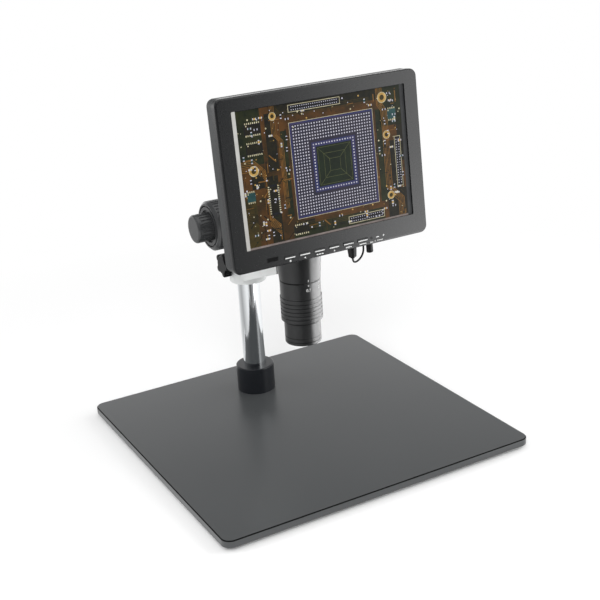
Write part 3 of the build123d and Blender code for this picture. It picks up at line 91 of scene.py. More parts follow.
class Graph:
    """A node tree that is filled node by node."""

    def __init__(self, tree: Tree) -> None:
        """Takes an empty tree."""
        self.tree = tree

    def add(self, kind: str, settings: dict | None = None,
            **inputs: Value) -> bpy.types.Node:
        """Adds a node.

        Args:
            kind: The node's type name.
            settings: Properties of the node itself.
            **inputs: Values or output sockets by input name, with _ for a space.

        Returns:
            The new node.
        """
        node = self.tree.nodes.new(kind)
        for key, value in (settings or {}).items():
            setattr(node, key, value)
        self.fill(node, **inputs)
        return node

    def fill(self, node: bpy.types.Node, **inputs: Value) -> None:
        """Feeds a node's inputs by name, with _ for a space."""
        for key, value in inputs.items():
            self.feed(node.inputs[key.replace("_", " ")], value)

    def feed(self, socket: Socket, value: Value) -> None:
        """Links an output socket to an input, or sets the input's own value.

        Args:
            socket: The input.
            value: An output socket or a plain value.
        """
        if isinstance(value, Socket):
            self.tree.links.new(value, socket)
        else:
            socket.default_value = value

    def math(self, operation: str, *values: Value) -> Socket:
        """A Math node's result for one to three values or sockets.

        Args:
            operation: The node's operation.
            *values: What it works on, in order.

        Returns:
            The socket that holds the result.
        """
        node = self.tree.nodes.new("ShaderNodeMath")
        node.operation = operation
        for socket, value in zip(node.inputs, values):
            self.feed(socket, value)
        return node.outputs[0]

    def blend(self, factor: Value, low: Value, high: Value) -> Socket:
        """A colour between low and high.

        Args:
            factor: Nought for the low colour, one for the high one.
            low: One colour.
            high: The other.

        Returns:
            The blended colour.
        """
        node = self.add("ShaderNodeMix", {"data_type": "RGBA"})
        for index, value in ((0, factor), (6, low), (7, high)):
            self.feed(node.inputs[index], value)
        return node.outputs[2]

    def remap(self, value: Value, low: float, high: float, out_low: float = 0.0,
              out_high: float = 1.0) -> Socket:
        """A value stretched from one range to another and kept inside it.

        Args:
            value: What is stretched.
            low: Start of its range.
            high: End of its range.
            out_low: What the start becomes.
            out_high: What the end becomes.

        Returns:
            The new value.
        """
        node = self.add("ShaderNodeMapRange", Value=value, From_Min=low, From_Max=high,
                        To_Min=out_low, To_Max=out_high)
        return node.outputs[0]

    def place(self) -> Socket:
        """Object coordinates."""
        return self.add("ShaderNodeTexCoord").outputs["Object"]

    def split(self, vector: Socket) -> Sockets:
        """The X, Y and Z of a vector, by name."""
        return self.add("ShaderNodeSeparateXYZ", Vector=vector).outputs

    def noise(self, vector: Socket, scale: Value, detail: float,
              roughness: float = 0.5) -> Socket:
        """Soft noise at a vector, with more or less fine detail in it.

        Args:
            vector: Where it is read.
            scale: How fine it is.
            detail: How many finer layers it has.
            roughness: How strong the finer layers are.

        Returns:
            Its value, about a half.
        """
        node = self.add("ShaderNodeTexNoise", Vector=vector, Scale=scale, Detail=detail,
                        Roughness=roughness)
        return node.outputs["Fac"]

    def bump(self, strength: float, distance: float, height: Socket,
             **inputs: Value) -> Socket:
        """A normal that follows a height.

        Args:
            strength: How much of the bump shows.
            distance: Depth that a height of one stands for, in metres.
            height: The height.
            **inputs: More inputs, such as the normal below.

        Returns:
            The normal.
        """
        node = self.add("ShaderNodeBump", Strength=strength, Distance=distance, Height=height,
                        **inputs)
        return node.outputs["Normal"]

    def group(self, tree: Tree, **inputs: Value) -> Sockets:
        """The outputs of a shared node group, by name."""
        return self.add("ShaderNodeGroup", {"node_tree": tree}, **inputs).outputs


def blank_graph(owner: Material | bpy.types.World) -> Graph:
    """Empties the node tree of a material or a world and opens it.

    Args:
        owner: What the tree belongs to.

    Returns:
        The empty tree, open.
    """
    owner.use_nodes = True
    owner.node_tree.nodes.clear()
    return Graph(owner.node_tree)


def new_group(name: str, inputs: dict[str, float],
              *outputs: str) -> tuple[Graph, Sockets, Sockets]:
    """Starts a shader node group.

    Args:
        name: The group's name.
        inputs: Float inputs with their default values.
        *outputs: Names of its float outputs.

    Returns:
        The graph inside, what is given to it and what it has to give, the last two by name.
    """
    tree = bpy.data.node_groups.new(name, "ShaderNodeTree")
    for key, value in inputs.items():
        socket = tree.interface.new_socket(name=key, in_out="INPUT", socket_type="NodeSocketFloat")
        socket.default_value = value
    for key in outputs:
        tree.interface.new_socket(name=key, in_out="OUTPUT", socket_type="NodeSocketFloat")
    graph = Graph(tree)
    return graph, graph.add("NodeGroupInput").outputs, graph.add("NodeGroupOutput").inputs


class Effects:
    """Shared surface effects on object coordinates, each a node group that is built once.

    A range gives the noise at which a mask starts and the noise at which it is full.
    """

    scratch_scale = 60.0
    scratch_width = 0.012
    patch_scale = 22.0
    patch_range = (0.55, 0.75)
    speck_scale = 900.0
    speck_range = (0.72, 0.8)
    ring_scale = 4000.0

    def __init__(self) -> None:
        """Builds the groups."""
        self.grain = self.build_grain()
        self.wear = self.build_wear()
        self.turning = self.build_turning()

    def build_grain(self) -> Tree:
        """Fine moulded or sprayed grain over slow cloudiness.

        Returns:
            The group.
        """
        graph, given, made = new_group("Surface grain", {"Fineness": 2500.0, "Cloud": 18.0},
                                       "Height", "Tone")
        place = graph.place()
        graph.feed(made["Height"], graph.noise(place, given["Fineness"], 3.0, 0.6))
        graph.feed(made["Tone"], graph.noise(place, given["Cloud"], 4.0, 0.55))
        return graph.tree

    def build_wear(self) -> Tree:
        """Fine scratches in scattered patches, and dust specks, as two masks.

        Returns:
            The group.
        """
        graph, _, made = new_group("Handling marks", {}, "Scratch", "Dust")
        place = graph.place()
        lines = graph.add("ShaderNodeTexVoronoi", {"feature": "DISTANCE_TO_EDGE"}, Vector=place,
                          Scale=self.scratch_scale)
        thin = graph.remap(lines.outputs["Distance"], 0.0, self.scratch_width, 1.0, 0.0)
        where = graph.remap(graph.noise(place, self.patch_scale, 2.0), *self.patch_range)
        graph.feed(made["Scratch"], graph.math("MULTIPLY", thin, where))
        specks = graph.noise(place, self.speck_scale, 1.0)
        graph.feed(made["Dust"], graph.remap(specks, *self.speck_range))
        return graph.tree

    def build_turning(self) -> Tree:
        """Fine rings left by a lathe, one above the other.

        Returns:
            The group.
        """
        graph, _, made = new_group("Turning rings", {}, "Height")
        level = graph.math("MULTIPLY", graph.split(graph.place())["Z"], self.ring_scale)
        waves = graph.add("ShaderNodeTexNoise", {"noise_dimensions": "1D"}, W=level, Scale=1.0,
                          Detail=2.0)
        graph.feed(made["Height"], waves.outputs["Fac"])
        return graph.tree


EFFECTS = Effects()


class Surface:
    """A finish that makes one material of its name."""

    name: str

    def material(self) -> Material:
        """The material, made the first time that it is asked for."""
        return bpy.data.materials.get(self.name) or self.make()

    def make(self) -> Material:
        """Makes the material."""
        raise NotImplementedError

    def start(self) -> tuple[Material, Graph, bpy.types.Node]:
        """Starts the material with one Principled shader.

        Returns:
            The material, its graph and the shader.
        """
        material = bpy.data.materials.new(self.name)
        graph = blank_graph(material)
        shader = graph.add("ShaderNodeBsdfPrincipled")
        graph.add("ShaderNodeOutputMaterial", Surface=shader.outputs["BSDF"])
        return material, graph, shader


@dataclass(frozen=True)
class Finish(Surface):
    """An opaque finish: colour, gloss, and grain that its bump and colour follow.

    Dark bands are pairs of heights between which the surface is dark and dull: on the barrels
    the joints between parts, on the plate painted shade along the edge of its top, which also
    takes away the highlight there. The numbers below the fields are the same for every finish.
    Where the surface is scratched, its colour is multiplied by the first number of rubbed and
    raised by the second.
    """

    name: str
    colour: str
    roughness: float = 0.5
    metallic: float = 0.0
    specular: float = 0.5
    coat: float = 0.0
    fineness: float = 2500.0
    grain: float = 0.15
    cloud: float = 18.0
    tone: float = 0.08
    wear: float = 0.15
    turned: bool = False
    stretch: float = 0.0
    joints_and_shade: tuple[Pair, ...] = ()

    coat_roughness = 0.12
    grain_depth = 0.00004
    cloud_range = (0.3, 0.7)
    swing = 0.04
    rubbed = (1.25, 0.012)
    dust = 0.06
    turned_grain = 0.4
    stretch_turn = 0.25
    # Near black, for the joints and for the painted shade on the plate.
    joint_and_shade_colour = (0.001, 0.001, 0.001, 1.0)

    def joint_and_shade_mask(self, graph: Graph) -> Socket:
        """One inside the dark bands and nought elsewhere.

        Args:
            graph: The material's graph.

        Returns:
            The mask.
        """
        rise = graph.split(graph.place())["Z"]
        mask = None
        for low, high in self.joints_and_shade:
            band = graph.math("COMPARE", rise, (low + high) / 2, (high - low) / 2)
            mask = graph.math("MAXIMUM", mask, band) if mask else band
        return mask

    def make(self) -> Material:
        """Makes the finish with its grain, marks, joint lines and painted shade.

        Returns:
            The material.
        """
        material, graph, shader = self.start()
        grain = graph.group(EFFECTS.grain, Fineness=self.fineness, Cloud=self.cloud)
        marks = graph.group(EFFECTS.wear)
        plain = shade(self.colour)
        base = graph.blend(grain["Tone"], scaled(plain, 1 - self.tone),
                           scaled(plain, 1 + self.tone))
        scratch = graph.math("MULTIPLY", marks["Scratch"], self.wear)
        colour = graph.blend(scratch, base, scaled(plain, *self.rubbed))
        swing = graph.remap(grain["Tone"], *self.cloud_range, self.roughness * (1 - self.swing),
                            self.roughness * (1 + self.swing))
        gloss = graph.math("ADD", swing, graph.math("MULTIPLY", marks["Dust"], self.dust))
        # Joints are dark lines where parts meet; the plate's band is painted shade along its top
        # edge.
        if self.joints_and_shade:
            mask = self.joint_and_shade_mask(graph)
            colour = graph.blend(mask, colour, self.joint_and_shade_colour)
            gloss = graph.math("MAXIMUM", gloss, mask)
        if self.stretch:
            around = graph.add("ShaderNodeTangent", {"direction_type": "RADIAL", "axis": "Z"})
            graph.fill(shader, Tangent=around.outputs[0], Anisotropic=self.stretch,
                       Anisotropic_Rotation=self.stretch_turn)
        height = grain["Height"]
        if self.turned:
            rings = graph.group(EFFECTS.turning)["Height"]
            height = graph.math("ADD", graph.math("MULTIPLY", height, self.turned_grain), rings)
        graph.fill(shader, Base_Color=colour, Roughness=gloss, Metallic=self.metallic,
                   Specular_IOR_Level=self.specular, Coat_Weight=self.coat,
                   Coat_Roughness=self.coat_roughness,
                   Normal=graph.bump(self.grain, self.grain_depth, height))
        return material


@dataclass(frozen=True)
class Knurl(Finish):
    """Rubber with fine axial knurling round an upright axis."""

    axis: Pair = (0.0, 0.0)

    teeth = 150.0
    depth = 0.00002
    sharpness = 0.7

    def make(self) -> Material:
        """Makes the finish, with its knurling on top of the grain.

        Returns:
            The material.
        """
        material = super().make()
        graph = Graph(material.node_tree)
        centred = graph.add("ShaderNodeMapping", Vector=graph.place(),
                            Location=(-self.axis[0], -self.axis[1], 0))
        parts = graph.split(centred.outputs[0])
        angle = graph.math("ARCTAN2", parts["Y"], parts["X"])
        wave = graph.math("SINE", graph.math("MULTIPLY", angle, self.teeth))
        shader = material.node_tree.nodes["Principled BSDF"]
        below = shader.inputs["Normal"].links[0].from_socket
        graph.fill(shader, Normal=graph.bump(self.sharpness, self.depth, wave, Normal=below))
        return material


@dataclass(frozen=True)
class LensGlass(Surface):
    """Clear glass with a faint coloured coating, a little dull where dust lies."""

    name: str
    tint: Colour

    dulled = 0.96
    roughness = (0.01, 0.05)
    index = 1.52

    def make(self) -> Material:
        """Makes the glass.

        Returns:
            The material.
        """
        material, graph, shader = self.start()
        dust = graph.group(EFFECTS.wear)["Dust"]
        graph.fill(shader, Base_Color=graph.blend(dust, self.tint, scaled(self.tint, self.dulled)),
                   Roughness=graph.remap(dust, 0.0, 1.0, *self.roughness),
                   Transmission_Weight=1.0, IOR=self.index)
        return material


@dataclass(frozen=True)
class Lit(Surface):
    """A patch of the lit picture: its own light, mottled between two colours."""

    name: str
    colour: str
    second: str
    mottle: float
    sharp: Pair = (0.35, 0.65)

    strength = 0.74
    unlit = (0.01, 0.01, 0.01, 1.0)
    roughness = 0.2
    specular = 0.08

    def make(self) -> Material:
        """Makes the patch.

        Returns:
            The material.
        """
        material, graph, shader = self.start()
        factor = graph.remap(graph.noise(graph.place(), self.mottle, 5.0, 0.6), *self.sharp)
        glow = graph.blend(factor, shade(self.colour), shade(self.second))
        graph.fill(shader, Emission_Color=glow, Emission_Strength=self.strength,
                   Base_Color=self.unlit, Roughness=self.roughness,
                   Specular_IOR_Level=self.specular)
        return material


class Finishes:
    """Every finish of the instrument, by what it is on: its name, colour, roughness and more."""

    # The band just below the plate's top is painted shade along its edge, dark and dull.
    plate = Finish("plate_paint", "434546", 0.31, grain=0.2, cloud=6.0, tone=0.05,
                   fineness=3200.0, joints_and_shade=((0.0099, 0.01095),))
    feet = Finish("foot_moulding", "1b1b1c", 0.85, grain=0.5)
    steel = Finish("plated_steel", "a3a5a8", 0.28, metallic=1.0, turned=True)
    black_steel = Finish("blackened_screw", "2b2c2e", 0.35, metallic=0.7)
    collar = Finish("collar_coat", "191b1f", 0.3, grain=0.1)
    chrome = Finish("column_plating", "edf0f2", 0.09, metallic=1.0, grain=0.015,
                    tone=0.02, wear=0.05)
    cap = Finish("cap_moulding", "1d1e20", 0.5)
    casting = Finish("casting_coat", "dcdedd", 0.42, specular=0.35, coat=0.05, grain=0.12,
                     tone=0.02, wear=0.05)
    bronze = Finish("bush_metal", "b98a4a", 0.3, metallic=1.0, turned=True)
    knob = Finish("knob_moulding", "353637", 0.34, specular=0.7, grain=0.35, tone=0.06)
    star = Finish("star_moulding", "0d0e0f", 0.3, specular=0.18, grain=0.2, tone=0.05)
    brass = Finish("gear_metal", "c9a35a", 0.25, metallic=1.0)
    housing = Finish("housing_paint", "333537", 0.42, grain=0.3)
    barrel = Finish("barrel_anodised", "1a1b1c", 0.4, specular=1.0, grain=0.08,
                    tone=0.05, turned=True, stretch=0.9,
                    joints_and_shade=((0.1718, 0.1734), (0.1292, 0.1302), (0.1142, 0.1150)))
    grip = Knurl("grip_moulding", "1c1d1e", 0.4, specular=1.0, grain=0.12,
                 stretch=0.9, axis=(0.0, -0.017))
    glass = LensGlass("coated_glass", (0.82, 0.86, 0.97, 1.0))
    board = Finish("board_mask", "1f5a34", 0.35, tone=0.15, cloud=120.0)
    chip = Finish("chip_case", "202124", 0.4)
    shell = Finish("shell_moulding", "151617", 0.27, specular=0.6, grain=0.08,
                   tone=0.05, fineness=3000.0)
    cover = Finish("cover_moulding", "2f3132", 0.44, grain=0.5, tone=0.05)
    panel = Finish("panel_glass", "0b0c0e", 0.2)
    key = Finish("key_moulding", "121314", 0.45)
    ink = Finish("white_ink", "c8c9c8", 0.6, specular=0.3, grain=0.1, tone=0.03, wear=0.3)
    eye = Finish("smoked_window", "060607", 0.2, specular=0.3)
    rubber = Finish("lead_rubber", "0d0e0f", 0.45, grain=0.3)


# ---- meshes ----


def to_mesh(bm: BMesh, name: str) -> bpy.types.Mesh:
    """Turns a bmesh into a mesh, and frees it.

    Args:
        bm: The bmesh.
        name: The mesh's name.

    Returns:
        The mesh.
    """
    mesh = bpy.data.meshes.new(name)
    bm.to_mesh(mesh)
    bm.free()
    return mesh


def add_object(name: str, data: bpy.types.ID) -> bpy.types.Object:
    """Adds an object with its data to the scene.

    Args:
        name: The object's name.
        data: Its mesh, curve, lamp or camera.

    Returns:
        The new object.
    """
    added = bpy.data.objects.new(name, data)
    bpy.context.scene.collection.objects.link(added)
    return added


def add_sheet(bm: BMesh, name: str, paper: str) -> tuple[bpy.types.Object, Graph]:
    """Adds a part of the studio: a mesh, its name and its material's name.

    Args:
        bm: The mesh; it is freed.
        name: The part's name.
        paper: Its material's name.

    Returns:
        The new object and the empty graph of its material.
    """
    mesh = to_mesh(bm, name)
    material = bpy.data.materials.new(paper)
    mesh.materials.append(material)
    return add_object(name, mesh), blank_graph(material)


def make_piece(bm: BMesh, name: str, body: str,
               *materials: Material) -> bpy.types.Object:
    """Turns a finished bmesh into a piece that rides on a body.

    Args:
        bm: The mesh, in the object frame; it is freed.
        name: The piece's name.
        body: The CAD body that it moves with.
        *materials: Its materials, in the order of its faces' indices.

    Returns:
        The new object.
    """
    mesh = to_mesh(bm, name)
    for material in materials:
        mesh.materials.append(material)
    piece = add_object(name, mesh)
    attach(piece, body)
    log.info("%s on %s: %d faces", name, body, len(mesh.polygons))
    return piece


def lay_tile(bm: BMesh, place: Matrix, width: float, height: float,
             index: int = 0) -> None:
    """Lays a flat rectangle on the XY plane of place.

    Args:
        bm: The mesh that it joins.
        place: Where its middle lies.
        width: Its size along X.
        height: Its size along Y.
        index: Its place among the materials.
    """
    matrix = place @ Matrix.Diagonal((width, height, 1, 1))
    made = bmesh.ops.create_grid(bm, x_segments=1, y_segments=1, size=0.5, matrix=matrix)
    paint_new(made["verts"], index)


def lay_disc(bm: BMesh, place: Matrix, radius: float, index: int = 0,
             segments: int = 16, turn: float = 0.0) -> None:
    """Lays a flat disc or polygon on the XY plane of place.

    Args:
        bm: The mesh that it joins.
        place: Where its middle lies.
        radius: Its radius.
        index: Its place among the materials.
        segments: How many sides it has.
        turn: Its turn in its plane.
    """
    matrix = place @ Matrix.Rotation(turn, 4, "Z")
    made = bmesh.ops.create_circle(bm, cap_ends=True, segments=segments, radius=radius,
                                   matrix=matrix)
    paint_new(made["verts"], index)


def paint_new(verts: list[bmesh.types.BMVert], index: int) -> None:
    """Sets the material index of the faces on new vertices."""
    for face in {f for v in verts for f in v.link_faces}:
        face.material_index = index


# ---- sub-assemblies ----


BUTTONS = tuple(f"button_{n}" for n in range(1, 7))


class Assembly:
    """A sub-assembly: the finishes of its CAD nodes, and the pieces that it adds to them."""

    coats: dict[Surface, tuple[str, ...]] = {}

    def dress(self) -> None:
        """Gives each CAD node its finish in place of its plain one."""
        for finish, nodes in self.coats.items():
            material = finish.material()
            for name in nodes:
                slots = frame["nodes"][name].data.materials
                slots.clear()
                slots.append(material)
                log.info("%s: %s", name, material.name)

    def build(self) -> None:
        """Adds its own pieces, where it has any."""


class Stand(Assembly):
    """Base plate, feet, column and its collar."""

    coats = {
        Finishes.plate: ("base_plate",),
        Finishes.feet: ("rubber_feet",),
        Finishes.collar: ("column_collar",),
        Finishes.chrome: ("column_tube",),
        Finishes.cap: ("column_cap",),
        Finishes.steel: ("column_plug", "anchor_bolt", "foot_screws"),
        Finishes.black_steel: ("collar_screws",),
    }


class Arm(Assembly):
    """Cast arm with its bushes and the clamp."""

    coats = {
        Finishes.casting: ("arm_casting",),
        Finishes.bronze: ("hub_bushes", "pinion_bushes"),
        Finishes.star: ("clamp_knob",),
        Finishes.steel: ("clamp_stud",),
    }


class FocusDrive(Assembly):
    """Knobs, shafts, pinion, rack and carriage."""

    coats = {
        Finishes.knob: ("coarse_knobs", "fine_knobs"),
        Finishes.steel: ("pinion_shaft", "fine_shaft", "carriage_screws"),
        Finishes.brass: ("pinion_gear", "focus_rack"),
        Finishes.casting: ("focus_carriage",),
    }


class CameraHead(Assembly):
    """Camera housing with its boards, and the tilt hinge."""

    coats = {
        Finishes.housing: ("camera_housing", "camera_lid"),
        Finishes.board: ("camera_board",),
        Finishes.chip: ("image_sensor",),
        Finishes.black_steel: ("head_screws", "hinge_fork", "hinge_knuckle"),
        Finishes.steel: ("hinge_pin",),
    }


@dataclass
class ZoomLens(Assembly):
    """Barrels, zoom ring with its scale, grip and glasses."""

    coats = {
        Finishes.barrel: ("upper_barrel", "lower_barrel", "front_ring", "lens_core", "zoom_ring",
                          "zoom_cell"),
        Finishes.grip: ("zoom_grip",),
        Finishes.glass: ("objective_lens", "relay_lens", "zoom_lens"),
    }
    scale: tuple[str, ...] = ("0.7", "2.0", "3.5", "4.5")
    index_angle: float = radians(-5)
    step: float = radians(42)
    mark_lift: float = 0.00004
    tick: Pair = (0.0009, 0.0030)
    tick_rise: float = 0.0036
    dot: float = 0.0007
    dot_drop: float = 0.0020
    figure_height: float = 0.0029
    figure_size: float = 1.4
    figure_weight: float = 0.03
    figure_drop: float = 0.0068
    axis: Vector = field(init=False)
    ring_top: float = field(init=False)
    ring_radius: float = field(init=False)

    def __post_init__(self) -> None:
        """Finds the lens axis and the levels of the ring in the frame."""
        low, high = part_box("zoom_ring")
        self.axis = (low + high) / 2
        self.ring_top = high.z
        self.ring_radius = (high.x - low.x) / 2

    def barrel_radius(self, level: float) -> float:
        """Radius of the upper barrel at a height, found from outside.

        Args:
            level: The height.

        Returns:
            The radius at the index tick.
        """
        away = Vector((sin(self.index_angle), -cos(self.index_angle), 0))
        start = Vector((self.axis.x, self.axis.y, level)) + away * self.ring_radius * 3
        spot = frame["nodes"]["upper_barrel"].ray_cast(start, -away)[1]
        return hypot(spot.x - self.axis.x, spot.y - self.axis.y)

    def wrap(self, bm: BMesh, radius: float, level: float, angle: float) -> None:
        """Bends a flat mark round the lens.

        Args:
            bm: The mark, flat in X and Y with its middle at the origin.
            radius: Radius that it lies on.
            level: Height of its middle.
            angle: Turn of its middle from the front.
        """
        for vert in bm.verts:
            here = -pi / 2 + angle + vert.co.x / radius
            vert.co = Vector((self.axis.x + radius * cos(here), self.axis.y + radius * sin(here),
                              level + vert.co.y))

    def figure(self, text: str) -> BMesh:
        """A number as a flat mesh with its middle at the origin.

        Args:
            text: What it reads.

        Returns:
            The mesh.
        """
        curve = bpy.data.curves.new("figure", "FONT")
        curve.body = text
        curve.size = self.figure_height * self.figure_size
        curve.offset = self.figure_height * self.figure_weight
        curve.align_x, curve.align_y = "CENTER", "CENTER"
        holder = add_object("figure", curve)
        bpy.context.view_layer.update()
        shown = holder.evaluated_get(bpy.context.evaluated_depsgraph_get())
        mesh = bpy.data.meshes.new_from_object(shown)
        bpy.data.objects.remove(holder)
        bpy.data.curves.remove(curve)
        bm = bmesh.new()
        bm.from_mesh(mesh)
        bpy.data.meshes.remove(mesh)
        bmesh.ops.dissolve_limit(bm, angle_limit=0.01, verts=bm.verts, edges=bm.edges)
        bmesh.ops.triangulate(bm, faces=bm.faces)
        return bm

    def build(self) -> None:
        """Prints the index tick on the upper barrel and the scale on the ring."""
        ink = Finishes.ink.material()
        bm = bmesh.new()
        lay_tile(bm, Matrix.Identity(4), *self.tick)
        level = self.ring_top + self.tick_rise
        self.wrap(bm, self.barrel_radius(level) + self.mark_lift, level, self.index_angle)
        make_piece(bm, "zoom_index", "head", ink)
        holder = bpy.data.meshes.new("scale")
        whole = bmesh.new()
        for place, text in enumerate(self.scale):
            dot = bmesh.new()
            lay_disc(dot, Matrix.Identity(4), self.dot)
            for mark, drop in ((dot, self.dot_drop), (self.figure(text), self.figure_drop)):
                self.wrap(mark, self.ring_radius + self.mark_lift, self.ring_top - drop,
                          self.index_angle + place * self.step)
                mark.to_mesh(holder)
                mark.free()
                whole.from_mesh(holder)
        bpy.data.meshes.remove(holder)
        make_piece(whole, "zoom_scale", "zoom_ring", ink)


@dataclass
class ScreenPlace:
    """The screen's own directions: across, back from its face, and up it."""

    matrix: Matrix = field(init=False)

    def __post_init__(self) -> None:
        """Reads the lean from a key's travel and the lower front edge from the bezel."""
        axis = next(j["axis"] for j in frame["joints"] if j["name"] == "key_1")
        turn = Matrix.Rotation(-atan2(-axis[2], axis[1]), 4, "X")
        back = turn.inverted()
        points = [back @ v.co for v in frame["nodes"]["front_bezel"].data.vertices]
        corner = Vector((0, min(p.y for p in points), min(p.z for p in points)))
        self.matrix = turn @ Matrix.Translation(corner)

    def at(self, across: float, depth: float, rise: float, turn: float = 0.0) -> Matrix:
        """A place on the screen, in millimetres, whose XY plane faces the user."""
        place = self.matrix @ Matrix.Translation(Vector((across, depth, rise)) * MM)
        return place @ Matrix.Rotation(pi / 2, 4, "X") @ Matrix.Rotation(radians(turn), 4, "Z")


class Paint(Enum):
    """Colours of the lit picture and two painted-light strips, in the order of the piece's
    materials.

    Each is two colours, how fine they mottle and, for some, how sharply.
    """

    GROUND = "633f16", "3b290e", 55.0, (0.36, 0.6)
    DARK = "0e0f09", "25210f", 180.0
    GREEN = "131c0d", "2c3114", 130.0
    TRACK = "9c6c2e", "765525", 200.0
    OLIVE = "4d3f14", "30290d", 120.0
    BLUE = "2a2b3e", "383442", 50.0
    VIOLET = "2f3768", "413c66", 70.0
    CORE = "141f12", "1f2d1a", 60.0
    HAIR = "6f7448", "4c5434", 300.0
    PAD = "f2f1fb", "c6c4d8", 500.0
    GOLD = "e6bd70", "b58c42", 300.0
    CREAM = "f0e8c6", "c0b690", 300.0
    CASE = "0d0e14", "1a1c24", 200.0
    TEAL = "1f4446", "2c5656", 150.0
    EDGE = "eaeae6", "d4d2cd", 40.0
    # Painted light: a glowing strip in place of the lit lower ledge of the bezel's recess.
    PAINTED_SILL_LIGHT = "a09490", "7a6f6c", 60.0
    # Painted light: a glowing grey strip in place of the lit right inner wall of the recess.
    FRAME = "474849", "393a3c", 60.0

    @property
    def index(self) -> int:
        """Place of the colour in the piece's materials."""
        return list(Paint).index(self)

    def material(self) -> Material:
        """The colour as a material."""
        return Lit("lit_" + self.name.lower(), *self.value).material()


class Layer(IntEnum):
    """Layers of the picture, from the board up to the edges that frame it."""

    GROUND, AREA, TRACK, RUN, VIA, PIN, BASE, BODY, FACE, WELL, PADS, CORE, PART, END = range(14)
    TOP_EDGE, LOW_EDGE, LEFT_EDGE, RIGHT_EDGE = range(28, 32)


def along(run: float, aside: float, upright: bool) -> Pair:
    """Across and up, for a measure along a motif and one aside from it."""
    return (aside, run) if upright else (run, aside)


